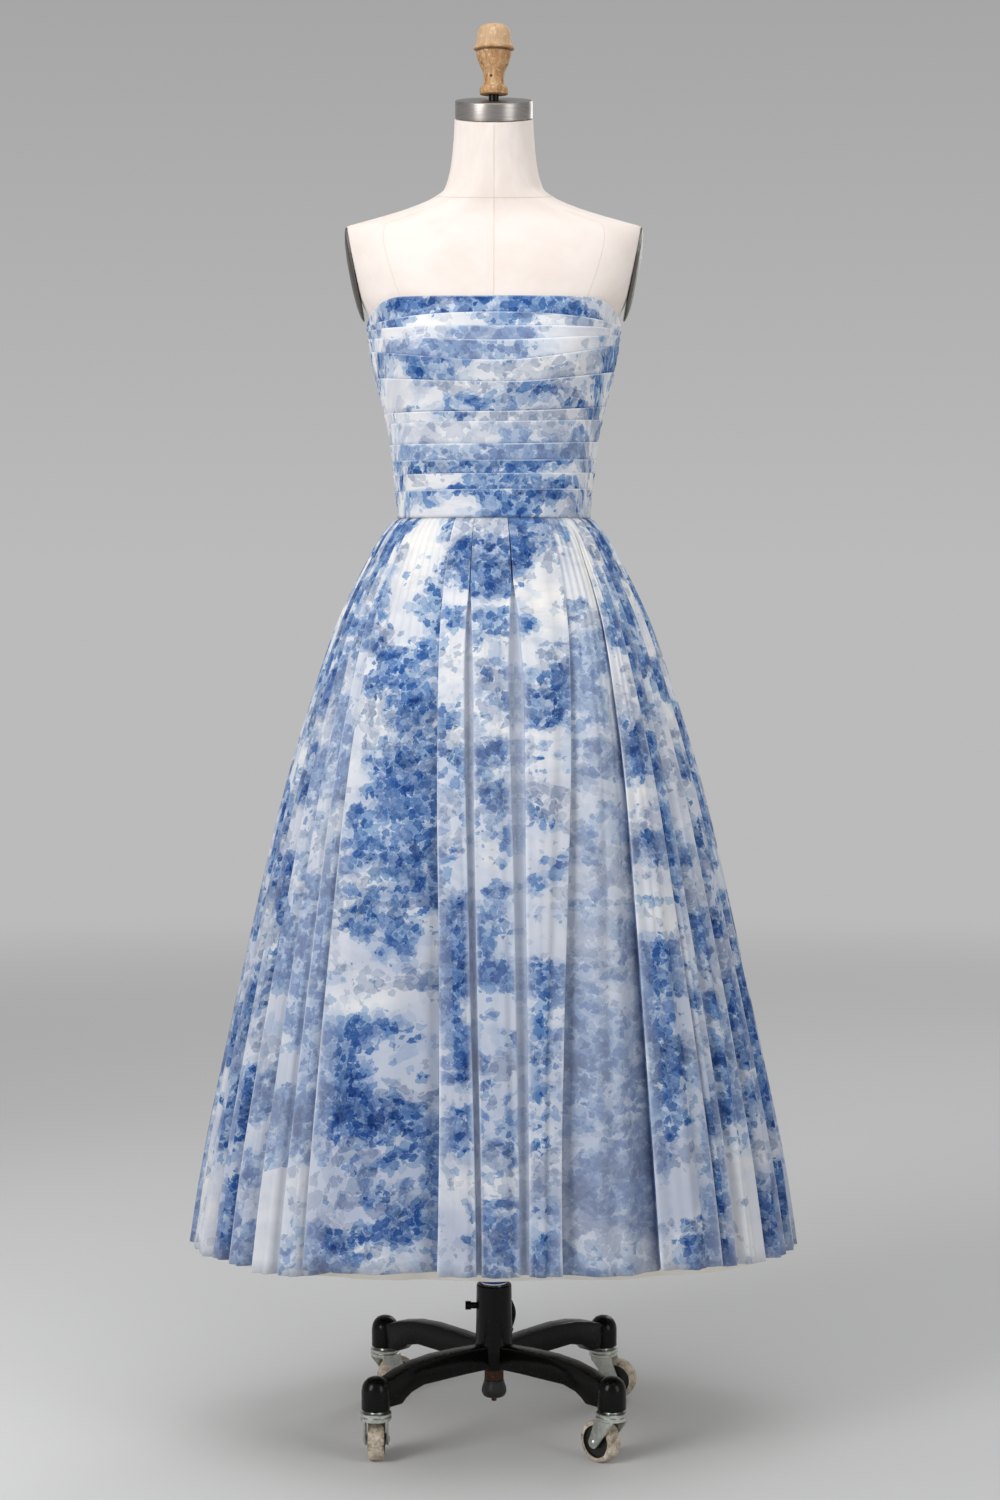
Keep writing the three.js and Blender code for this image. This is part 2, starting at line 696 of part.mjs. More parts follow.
function addNeckCapAndFinial() {
  const { radius, height, chamfer, topZ } = CAP;
  const outline = [
    [0, 0],
    [radius, 0],
    [radius, height - chamfer],
    [radius - chamfer, height],
    [0, height],
  ];
  const cap = turned(outline, 36).translate(0, 0, -height);
  cap.rotateX(rad(NECK_TILT)).translate(0, 0, topZ);
  add("neck_cap", cap, brushedSteel);

  const stud = turned([[0, 0], [STUD_RADIUS, 0], [STUD_RADIUS, 1], [0, 1]], 16);
  const place = stud.getAttribute("position");
  for (let i = 0; i < place.count; i += 1) {
    const seat = topZ + place.getY(i) * Math.tan(rad(NECK_TILT)) + GAP;
    place.setZ(i, place.getZ(i) > 0.5 ? FINIAL_Z - GAP : seat);
  }
  add("finial_stud", closed(stud), blackIron);
  add("finial", turned(FINIAL_OUTLINE, 20).translate(0, 0, FINIAL_Z), turnedWood);
}

function ellipse(half, depth, z, sides) {
  return Array.from({ length: sides }, (_, i) => {
    const a = rad((i * 360) / sides);
    return new THREE.Vector3(half * Math.sin(a), -depth * Math.cos(a), z);
  });
}

function addBoardAndPole() {
  const { half, depth, top, thick } = BOARD;
  const boardLow = top - thick;
  const rims = [boardLow, top].map((z) => ellipse(half, depth, z, BOARD.sides));
  add("form_board", loft(rims), plywood);

  const high = boardLow - GAP;
  const low = high - FLANGE.thick;
  const roof = POLE_TOP_Z + GAP;
  const outline = [
    [0, roof],
    [POLE_BORE, roof],
    [POLE_BORE, low - FLANGE.drop],
    [FLANGE.collar, low - FLANGE.drop],
    [FLANGE.collar, low],
    [FLANGE.radius, low],
    [FLANGE.radius, high],
    [0, high],
  ];
  add("pole_flange", turned(outline, 20), blackIron);
  add("pole", disc(POLE_RADIUS, POLE_LOW_Z, POLE_TOP_Z, 24), chrome);

  const plug = [
    [0, PLUG.stemLow],
    [PLUG.stemRadius, PLUG.stemLow],
    [PLUG.stemRadius, PLUG.low],
    [PLUG.radius, PLUG.low],
    [PLUG.radius, POLE_LOW_Z - GAP],
    [0, POLE_LOW_Z - GAP],
  ];
  add("pole_plug", turned(plug, 16), blackIron);
  add("foot_bumper", ring(PLUG.stemRadius + GAP, BUMPER_OUTLINE, 16), blackRubber);
}

// ---------------------------------------------------------------- bodice

function aroundBody(azimuth, row) {
  const fold = THREE.MathUtils.euclideanModulo(azimuth + 180, 360) - 180;
  const side = fold < 0 ? row.left : row.right;
  const away = Math.abs(fold);
  if (away <= 90) return lerp(row.front, side, smooth(away, row.turn ?? 0, 90));
  return lerp(side, row.back, smooth(away, 90, 180));
}

function bodiceTop(azimuth) {
  return aroundBody(azimuth, { ...NECKLINE, left: NECKLINE.side, right: NECKLINE.side });
}

// Height and relief of each outer row at one azimuth, from the top edge to the waist.
function bodiceRows(azimuth) {
  const rows = [{ z: bodiceTop(azimuth), relief: 1 }];
  for (const tuck of TUCKS) {
    const z = aroundBody(azimuth, tuck);
    rows.push({ z: z + TUCK_EDGE, relief: TUCK_FOOT }, { z: z - TUCK_EDGE, relief: TUCK_HEIGHT });
  }
  rows.push({ z: WAIST_Z + GAP / 2, relief: TUCK_FOOT });
  return rows;
}

function addBodicePanel(name, from, to) {
  const columns = Math.round((to - from) / BODICE_STEP);
  const azimuths = Array.from({ length: columns + 1 }, (_, i) => {
    return lerp(from + SEAM_DEGREES, to - SEAM_DEGREES, i / columns);
  });
  const table = azimuths.map(bodiceRows);
  const outer = table[0].map((_, r) =>
    azimuths.map((azimuth, c) => {
      const { z, relief } = table[c][r];
      return torsoPoint(azimuth, z, BODICE_CLEARANCE + BODICE_WALL + relief);
    }),
  );
  const inner = Array.from({ length: BODICE_INNER_ROWS + 1 }, (_, r) =>
    azimuths.map((azimuth) => {
      const z = lerp(bodiceTop(azimuth), WAIST_Z + GAP / 2, r / BODICE_INNER_ROWS);
      return torsoPoint(azimuth, z, BODICE_CLEARANCE);
    }),
  );
  add(name, wall(outer, inner), printedCotton);
}

function addZip() {
  const z = bodiceTop(180) - ZIP_DROP;
  const standing = BODICE_CLEARANCE + BODICE_WALL + TUCK_HEIGHT;
  const seat = torsoPoint(180, z, standing).y + GAP;
  const sliderFront = seat + SLIDER.thick;
  const body = new THREE.BoxGeometry(SLIDER.width, SLIDER.thick, SLIDER.height);
  body.translate(0, seat + SLIDER.thick / 2, z);
  add("zip_slider", closed(body), zinc);

  const half = PULL.width / 2;
  const tail = PULL.length - half;
  const outline = [[-0.6 * half, 0], ...arc(0, -tail, half, 180, 360, 8), [0.6 * half, 0]];
  const pull = plate(outline, PULL.thick);
  pull.translate(0, sliderFront + GAP + PULL.thick / 2, z + SLIDER.height / 4);
  add("zip_pull", pull, zinc);
}

// ---------------------------------------------------------------- base

function addBase() {
  const legs = CASTERS.map(({ x, y }) => {
    return plate(LEG_OUTLINE, LEG_WIDTH, LEG_BEVEL).rotateZ(Math.atan2(y, x));
  });
  const bosses = CASTERS.map(({ x, y }) => {
    return turned(BOSS_OUTLINE, BOSS_SIDES).translate(x * BOSS_OFFSET, y * BOSS_OFFSET, 0);
  });
  const hubLow = HUB_OUTLINE[0][1];
  const hubTop = HUB_OUTLINE.at(-1)[1];
  const hub = turned([[0, hubLow], ...HUB_OUTLINE, [0, hubTop]], HUB_SIDES);
  const bore = disc(POLE_BORE, hubLow - 10, hubTop + 10, HUB_SIDES);
  const lugTop = LEVER.foot - LUG.gap;
  const lugOutline = [
    [POLE_BORE, LUG.low],
    [LUG.reach - 3, LUG.low],
    [LUG.reach, lugTop],
    [POLE_BORE, lugTop],
  ];
  const lug = plate(lugOutline, LEVER.width).rotateZ(rad(LEVER.azimuth - 90));
  const screwHole = disc(SCREW.bore, 0, 40, 16).rotateY(-Math.PI / 2).translate(0, 0, SCREW.z);
  add("base_casting", cut(joined(hub, lug, ...legs, ...bosses), bore, closed(screwHole)), blackIron);

  const tip = POLE_RADIUS + 2 * GAP;
  const screw = turned(
    [
      [0, tip],
      [SCREW.radius, tip],
      [SCREW.radius, SCREW.reach - SCREW.headWidth],
      [SCREW.head, SCREW.reach - SCREW.headWidth],
      [SCREW.head, SCREW.reach],
      [0, SCREW.reach],
    ],
    12,
  );
  add("clamp_screw", screw.rotateY(-Math.PI / 2).translate(0, 0, SCREW.z), blackIron);
}

// A curved strap: its foot and its tip lie on the hub, and it stands off between them.
function addReleaseLever() {
  const { azimuth, seat, foot, top, stand, width, thick } = LEVER;
  const steps = 8;
  const inside = Array.from({ length: steps + 1 }, (_, i) => {
    const share = i / steps;
    return [seat + stand * Math.sin(Math.PI * share), lerp(foot, top, share)];
  });
  const outside = inside.map(([x, z]) => [x + thick, z]).reverse();
  const lever = plate([...inside, ...outside], width);
  add("release_lever", lever.rotateZ(rad(azimuth - 90)), blackIron);
}

// ---------------------------------------------------------------- casters

function wheelGeometry() {
  const rim = WHEEL_WIDTH / 2;
  const hub = FORK_INSIDE - 2 * GAP;
  const bore = AXLE_RADIUS + GAP;
  const halfOutline = [
    [WHEEL_RADIUS, rim - 3],
    [WHEEL_RADIUS - 2, rim],
    [WHEEL_RADIUS - 6, rim],
    [WHEEL_RADIUS - 7, 0.6 * rim],
    [8.5, 0.6 * rim],
    [7, hub],
    [bore, hub],
  ];
  const mirrored = halfOutline.map(([radius, along]) => [radius, -along]).toReversed();
  const outline = [...mirrored, ...halfOutline, [bore, -hub]];
  const profile = outline.map(([radius, along]) => new THREE.Vector2(radius, along));
  return closed(new THREE.LatheGeometry(profile, 20));
}

function forkGeometry() {
  const outline = [
    [FORK_BACK, CROWN.top - 1],
    [FORK_BACK, CROWN.low - 2],
    ...arc(TRAIL, WHEEL_RADIUS, FORK_END, 215, 360, 5),
    [FORK_FRONT, CROWN.low - 3],
    [FORK_FRONT - 1, CROWN.top - 1],
  ];
  const pieces = [disc(CROWN.radius, CROWN.low, CROWN.top, 20)];
  for (const side of [-1, 1]) {
    const offset = side * (FORK_INSIDE + FORK_PLATE / 2);
    pieces.push(closed(plate(outline, FORK_PLATE).translate(0, offset, 0)));
    const rivet = disc(RIVET.radius, 0, RIVET.height, 8).rotateX(-side * (Math.PI / 2));
    const seat = side * (FORK_INSIDE + FORK_PLATE - RIVET.sunk);
    pieces.push(closed(rivet.translate(TRAIL, seat, WHEEL_RADIUS)));
  }
  return joined(...pieces);
}

function addCasters() {
  for (const { name, x, y, heading } of CASTERS) {
    const caster = new THREE.Group();
    caster.position.set(x * BOSS_OFFSET, y * BOSS_OFFSET, 0);
    caster.rotation.z = rad(heading);
    model.add(caster);
    const { radius, low, top, neck } = RACEWAY;
    const bossLow = BOSS_OUTLINE[0][1];
    const raceway = [
      [0, low],
      [radius, low],
      [radius, top],
      [neck, top],
      [neck, bossLow - GAP],
      [0, bossLow - GAP],
    ];
    add(`caster_plate_${name}`, turned(raceway, 20), zinc, caster);
    add(`fork_${name}`, forkGeometry(), zinc, caster);
    const axle = new THREE.CylinderGeometry(AXLE_RADIUS, AXLE_RADIUS, 2 * (FORK_INSIDE - GAP), 12);
    add(`axle_${name}`, closed(axle), zinc, caster).position.set(TRAIL, 0, WHEEL_RADIUS);
    add(`wheel_${name}`, wheelGeometry(), wheelRubber, caster).position.set(TRAIL, 0, WHEEL_RADIUS);
  }
}

// ---------------------------------------------------------------- assembly

addSkirt();
addLining();
addTorso();
addArmPlates();
addNeckCapAndFinial();
addBoardAndPole();
addBodicePanel("bodice_front", -90, 90);
addBodicePanel("bodice_back_right", 90, 180);
addBodicePanel("bodice_back_left", 180, 270);
addZip();
addBase();
addReleaseLever();
addCasters();

export default model;
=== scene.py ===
"""Looks of a strapless midi dress on a dress form: cloth, form, pole, base and casters."""

import math

import bmesh
import bpy
import numpy as np
from mathutils import Matrix, Vector, noise


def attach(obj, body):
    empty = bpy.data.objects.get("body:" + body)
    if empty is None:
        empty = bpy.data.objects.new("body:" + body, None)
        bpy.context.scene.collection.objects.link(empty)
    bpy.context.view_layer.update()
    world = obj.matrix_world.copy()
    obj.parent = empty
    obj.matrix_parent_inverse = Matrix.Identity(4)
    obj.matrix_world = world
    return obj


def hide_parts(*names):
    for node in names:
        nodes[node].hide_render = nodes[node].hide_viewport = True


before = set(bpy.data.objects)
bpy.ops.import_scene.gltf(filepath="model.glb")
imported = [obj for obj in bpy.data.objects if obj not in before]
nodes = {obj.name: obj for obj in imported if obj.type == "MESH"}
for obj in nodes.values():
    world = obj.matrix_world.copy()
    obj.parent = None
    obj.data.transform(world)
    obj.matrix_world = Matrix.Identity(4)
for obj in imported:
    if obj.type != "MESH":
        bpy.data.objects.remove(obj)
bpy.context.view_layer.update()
scene = bpy.context.scene
scene.view_settings.view_transform = "Standard"
MM = 0.001


# ---- camera


LENS, SHIFT_Y = 69.4, -0.05
CAMERA_PLACE, CAMERA_AIM = (0.0075, -3.6, 1.088), (0.0075, 0.0, 0.9495)


def aimed(name, data, place, aim):
    """Adds a camera or a lamp at this place, turned towards its aim."""
    item = bpy.data.objects.new(name, data)
    scene.collection.objects.link(item)
    item.location = place
    item.rotation_euler = (Vector(aim) - Vector(place)).to_track_quat("-Z", "Y").to_euler()
    return item


def make_camera():
    data = bpy.data.cameras.new("camera")
    data.lens, data.shift_y = LENS, SHIFT_Y
    scene.camera = aimed("camera", data, CAMERA_PLACE, CAMERA_AIM)


make_camera()


# ---- small helpers


def lerp(a, b, t):
    return a + (b - a) * t


def smooth(x, low, high):
    t = np.clip((x - low) / (high - low), 0, 1)
    return t * t * (3 - 2 * t)


def bell(x, middle, width):
    return np.exp(-(((x - middle) / width) ** 2))


def signed(azimuth):
    """Degrees round from the front, from -180 to 180."""
    return (azimuth + 180) % 360 - 180


def sin_cos(azimuth):
    return np.sin(np.radians(azimuth)), np.cos(np.radians(azimuth))


def moved(x, y, z, angle=0.0, axis="Z"):
    """The matrix of a turn about an axis followed by a move in metres."""
    return Matrix.Translation((x, y, z)) @ Matrix.Rotation(angle, 4, axis)


def curve_through(xs, ys):
    """A smooth monotone curve through the points, as a function of an array."""
    order = np.argsort(xs)
    x, y = np.array(xs, float)[order], np.array(ys, float)[order]
    chord = np.diff(y) / np.diff(x)
    slope = np.empty(len(x))
    slope[0], slope[-1] = chord[0], chord[-1]
    product = chord[:-1] * chord[1:]
    total = chord[:-1] + chord[1:]
    slope[1:-1] = np.where(product > 0, 2 * product / np.where(total == 0, 1, total), 0)

    def at(value):
        v = np.clip(np.asarray(value, float), x[0], x[-1])
        i = np.clip(np.searchsorted(x, v, "right") - 1, 0, len(x) - 2)
        span = x[i + 1] - x[i]
        t = (v - x[i]) / span
        rise = y[i + 1] - y[i]
        bend = (slope[i] * (1 - t) - slope[i + 1] * t) * span + rise * (2 * t - 1)
        return y[i] + rise * t + t * (1 - t) * bend

    return at


def spline(points, steps):
    """Catmull-Rom through 2-D points, with this many steps between each two."""
    p = np.array(points, float)
    ends = np.vstack([2 * p[0] - p[1], p, 2 * p[-1] - p[-2]])
    out = []
    for i in range(len(p) - 1):
        a, b, c, d = ends[i : i + 4]
        square, cube = 2 * a - 5 * b + 4 * c - d, 3 * b - a - 3 * c + d
        for k in range(steps):
            t = k / steps
            out.append(0.5 * (2 * b + (c - a) * t + square * t**2 + cube * t**3))
    return np.array([*out, p[-1]])


def steps_along(points):
    """The level distance from each point of every row to the next."""
    return np.hypot(np.diff(points[..., 0], axis=1), np.diff(points[..., 1], axis=1))


def run_along(steps):
    """The distance of each point from the start of its row."""
    return np.pad(np.cumsum(steps, 1), ((0, 0), (1, 0)))


def new_object(name, mesh, material, body):
    piece = bpy.data.objects.new(name, mesh)
    scene.collection.objects.link(piece)
    mesh.materials.append(material)
    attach(piece, body)
    return piece


def grid_mesh(name, points, uv=None, layers=None, wrap=False):
    """A mesh of rows by columns of points in metres, with a UV map in metres of cloth."""
    rows, columns = points.shape[:2]
    index = np.arange(rows * columns).reshape(rows, columns)
    if wrap:
        index = np.hstack([index, index[:, :1]])
    quads = np.stack([index[:-1, :-1], index[1:, :-1], index[1:, 1:], index[:-1, 1:]], -1)
    quads = quads.reshape(-1, 4)
    mesh = bpy.data.meshes.new(name)
    mesh.from_pydata(points.reshape(-1, 3).tolist(), [], quads.tolist())
    if uv is not None:
        layer = mesh.uv_layers.new(name="cloth")
        layer.data.foreach_set("uv", uv.reshape(-1, 2)[quads.ravel()].astype(np.float32).ravel())
    for key, values in (layers or {}).items():
        layer = mesh.attributes.new(key, "FLOAT", "POINT")
        layer.data.foreach_set("value", np.asarray(values, np.float32).ravel())
    mesh.polygons.foreach_set("use_smooth", [True] * len(mesh.polygons))
    mesh.update()
    return mesh


def cloth_piece(name, mesh, material, cad, wall, offset=0.0):
    """A sheet on the form, with a wall in metres, that is shown for one CAD node."""
    piece = new_object(name, mesh, material, "form")
    solid = piece.modifiers.new("wall", "SOLIDIFY")
    solid.thickness, solid.offset = wall, offset
    solid.use_even_offset = False
    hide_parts(cad)
    return piece


def soften(outline, radius, steps=3):
    """The outline with each inner corner replaced by a short curve."""
    p = [Vector(q) for q in outline]
    out = [p[0]]
    for a, b, c in zip(p, p[1:], p[2:]):
        reach = min(radius, 0.45 * (b - a).length, 0.45 * (c - b).length)
        start, end = b + (a - b).normalized() * reach, b + (c - b).normalized() * reach
        for k in range(steps + 1):
            t = k / steps
            out.append(start * (1 - t) ** 2 + b * 2 * t * (1 - t) + end * t**2)
    out.append(p[-1])
    return [tuple(q) for q in out]


def turned(bm, outline, sides, matrix=None, closed=False):
    """Adds a body turned about Z to bm. The outline is (radius, height) in millimetres."""
    matrix = matrix or Matrix()
    rings = []
    for radius, height in outline:
        r, z = radius * MM, height * MM
        turns = [math.tau * k / sides for k in range(sides if radius else 1)]
        places = [(r * math.cos(a), r * math.sin(a), z) for a in turns]
        rings.append([bm.verts.new(matrix @ Vector(place)) for place in places])
    pairs = list(zip(rings, rings[1:])) + [(rings[-1], rings[0])] * closed
    for low, high in pairs:
        for k in range(sides):
            n = (k + 1) % sides
            ends = [(low, k), (low, n), (high, n), (high, k)]
            corners = list(dict.fromkeys(ring[i % len(ring)] for ring, i in ends))
            if len(corners) > 2:
                bm.faces.new(corners)


def join(bm, part):
    """Moves all of part into bm."""
    mesh = bpy.data.meshes.new("part")
    part.to_mesh(mesh)
    part.free()
    bm.from_mesh(mesh)
    bpy.data.meshes.remove(mesh)


def extruded(bm, outline, width, matrix=None, bevel=0.0, segments=2):
    """Adds a plate to bm: the outline lies in XZ, in millimetres, and its width runs along Y."""
    part = bmesh.new()
    half = width / 2
    front = [part.verts.new(Vector((x, -half, z)) * MM) for x, z in outline]
    back = [part.verts.new(Vector((x, half, z)) * MM) for x, z in outline]
    part.faces.new(front)
    part.faces.new(back[::-1])
    count = len(outline)
    for k in range(count):
        n = (k + 1) % count
        part.faces.new([front[k], back[k], back[n], front[n]])
    bmesh.ops.recalc_face_normals(part, faces=part.faces)
    if bevel:
        part.normal_update()
        edges = [e for e in part.edges if e.calc_face_angle(0) > math.radians(28)]
        bevelled = dict(offset=bevel * MM, offset_type="OFFSET", segments=segments, profile=0.5)
        bmesh.ops.bevel(part, geom=edges, affect="EDGES", clamp_overlap=True, **bevelled)
    part.transform(matrix or Matrix())
    join(bm, part)


def solid_piece(name, bm, material, body, angle, cad=None):
    """A hard piece made from bm, with edges over the angle in degrees kept sharp."""
    bmesh.ops.recalc_face_normals(bm, faces=bm.faces)
    mesh = bpy.data.meshes.new(name)
    bm.to_mesh(mesh)
    bm.free()
    mesh.polygons.foreach_set("use_smooth", [True] * len(mesh.polygons))
    mesh.set_sharp_from_angle(angle=math.radians(angle))
    mesh.update()
    piece = new_object(name, mesh, material, body)
    if cad:
        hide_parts(cad)


def turned_piece(name, outline, sides, material, body, slot, angle, cad, matrix=None, closed=False):
    bm = bmesh.new()
    turned(bm, outline, sides, matrix, closed)
    solid_piece(name, bm, material, body, angle, cad)


# ---- material helpers


def linear(red, green, blue):
    """A linear colour from 0-255 display values."""
    out = []
    for value in (red, green, blue):
        c = value / 255
        out.append(c / 12.92 if c <= 0.04045 else ((c + 0.055) / 1.055) ** 2.4)
    return (*out, 1.0)


class Graph:
    """A few short names for building one material's nodes."""

    def __init__(self, name):
        self.material = bpy.data.materials.new(name)
        self.material.use_nodes = True
        self.tree = self.material.node_tree
        self.tree.nodes.clear()

    def put(self, socket, value):
        if isinstance(value, bpy.types.NodeSocket):
            self.tree.links.new(value, socket)
        elif value is not None:
            socket.default_value = value

    def make(self, kind, inputs, output=0, **settings):
        """Adds a node with these values or links at its inputs, and gives one output or all."""
        made = self.tree.nodes.new(f"ShaderNode{kind}")
        for key, value in settings.items():
            setattr(made, key, value)
        for key, value in inputs.items():
            self.put(made.inputs[key], value)
        return made.outputs if output is None else made.outputs[output]

    def math(self, operation, a, b=None, clamp=False):
        return self.make("Math", {0: a, 1: b}, operation=operation, use_clamp=clamp)

    def add(self, a, b):
        return self.math("ADD", a, b)

    def less(self, a, b, clamp=False):
        return self.math("SUBTRACT", a, b, clamp)

    def times(self, a, b, clamp=False):
        return self.math("MULTIPLY", a, b, clamp)

    def step(self, value, low, high, out_low=0.0, out_high=1.0):
        inputs = dict(enumerate((value, low, high, out_low, out_high)))
        return self.make("MapRange", inputs, interpolation_type="SMOOTHSTEP")

    def mix(self, share, a, b, blend="MIX"):
        inputs = {0: share, 6: a, 7: b}
        return self.make("Mix", inputs, 2, data_type="RGBA", blend_type=blend)

    def tint(self, colour, factor):
        return self.mix(1.0, colour, factor, "MULTIPLY")

    def vector(self, operation, a, b=None, output=0):
        return self.make("VectorMath", {0: a, 1: b}, output, operation=operation)

    def scaled(self, where, factors):
        return self.vector("MULTIPLY", where, factors)

    def shifted(self, where, offset):
        return self.vector("ADD", where, offset)

    def axes(self, where):
        return self.make("SeparateXYZ", {0: where}, None)

    def noise(self, where, scale, detail=3.0, roughness=0.55, distortion=0.0, output="Fac"):
        inputs = {"Vector": where, "Scale": scale, "Detail": detail}
        inputs |= {"Roughness": roughness, "Distortion": distortion}
        return self.make("TexNoise", inputs, output)

    def wobble(self, where, scale, reach):
        """An offset of up to half this reach either way along each axis."""
        offset = self.vector("SUBTRACT", self.noise(where, scale, 2.0, output="Color"), (0.5,) * 3)
        return self.scaled(offset, reach)

    def voronoi(self, where, scale, feature="F1", dimensions="2D"):
        settings = dict(feature=feature, voronoi_dimensions=dimensions)
        return self.make("TexVoronoi", {"Vector": where, "Scale": scale}, None, **settings)

    def ramp(self, value, stops):
        made = self.tree.nodes.new("ShaderNodeValToRGB")
        elements = made.color_ramp.elements
        while len(elements) < len(stops):
            elements.new(0.5)
        for element, (place, colour) in zip(elements, stops):
            element.position, element.color = place, colour
        self.put(made.inputs[0], value)
        return made.outputs[0]

    def split(self, colour):
        return self.make("SeparateColor", {0: colour}, None)

    def cloth(self):
        return self.make("UVMap", {}, uv_map="cloth")

    def place(self):
        return self.make("TexCoord", {}, "Object")

    def layer(self, name):
        return self.make("Attribute", {}, "Fac", attribute_name=name)

    def bump(self, height, strength, distance):
        return self.make("Bump", {"Height": height, "Strength": strength, "Distance": distance})

    def close(self, colour, roughness, metallic=0.0, normal=None, **constants):
        """Ends the graph in a Principled shader; a constant's name has _ for each space."""
        inputs = {"Base Color": colour, "Roughness": roughness}
        inputs |= {"Metallic": metallic, "Normal": normal}
        inputs |= {key.replace("_", " "): value for key, value in constants.items()}
        self.make("OutputMaterial", {0: self.make("BsdfPrincipled", inputs)}, None)
        return self.material


def weave(g, where, pitch):
    """Height of a plain weave with this pitch in metres, from crossed bands."""
    part = g.axes(g.scaled(where, (math.pi / pitch,) * 3))
    across = g.math("ABSOLUTE", g.math("SINE", part[0]))
    down = g.math("ABSOLUTE", g.math("SINE", part[1]))
    return g.math("MAXIMUM", across, down)


# ---- floral print

CREAM = linear(242, 240, 239)
# Glazes of the watercolour print: petal size in metres, shift, reach into a drift's rim,
# strength, softness of the edge and tint. Where glazes overlap the blue deepens.
GLAZES = [
    (0.0300, 0.00, 0.22, 0.55, 0.30, (0.54, 0.69, 0.86, 1.0)),
    (0.0175, 0.31, 0.05, 0.90, 0.06, (0.46, 0.62, 0.80, 1.0)),
    (0.0130, 0.57, -0.10, 1.00, 0.04, (0.36, 0.53, 0.76, 1.0)),
    (0.0098, 0.83, -0.22, 1.00, 0.04, (0.20, 0.36, 0.62, 1.0)),
]
# The same for the faded layer that lies behind.
FADED = [
    (0.0190, 1.17, -0.08, 0.80, 0.06, (0.56, 0.62, 0.72, 1.0)),
    (0.0125, 1.43, -0.20, 0.85, 0.05, (0.52, 0.58, 0.70, 1.0)),
]
LOBES = 5
NET_PITCH = 0.0011


def petals(g, where, size, density, shift, softness):
    """Lobed blooms of one size, more and larger where the density is high: mask, rim and chance."""
    place = g.shifted(where, (shift, shift * 0.7, 0.0))
    cell = g.voronoi(place, 1 / size)
    chance = g.split(cell["Color"])
    spread = g.times(g.less(chance[0], 0.5), 0.85)
    radius = g.step(g.add(density, spread), 0.28, 0.85, 0.0, 1.0)
    apart = g.axes(g.vector("SUBTRACT", place, cell["Position"]))
    turn = g.times(g.math("ARCTAN2", apart[1], apart[0]), LOBES / 2)
    turn = g.add(turn, g.times(chance[2], math.tau))
    lobe = g.math("ABSOLUTE", g.math("COSINE", turn))
    radius = g.times(radius, g.add(g.times(lobe, 0.34), 0.56))
    inside = g.less(radius, cell["Distance"])
    return g.step(inside, 0.0, softness), g.step(inside, 0.02, 0.20, 1.0, 0.0), chance


def glaze(g, colour, where, density, texture, layers):
    """Lays each layer's translucent petals over the colour, darker where their pigment pools."""
    for size, shift, reach, strength, softness, tint in layers:
        mask, rim, chance = petals(g, where, size, g.add(density, reach), shift, softness)
        load = g.add(g.add(g.times(chance[1], 0.98), 0.20), g.times(rim, 0.22))
        share = g.times(g.times(mask, g.times(load, texture)), strength, True)
        colour = g.mix(share, colour, g.tint(colour, tint))
    return colour


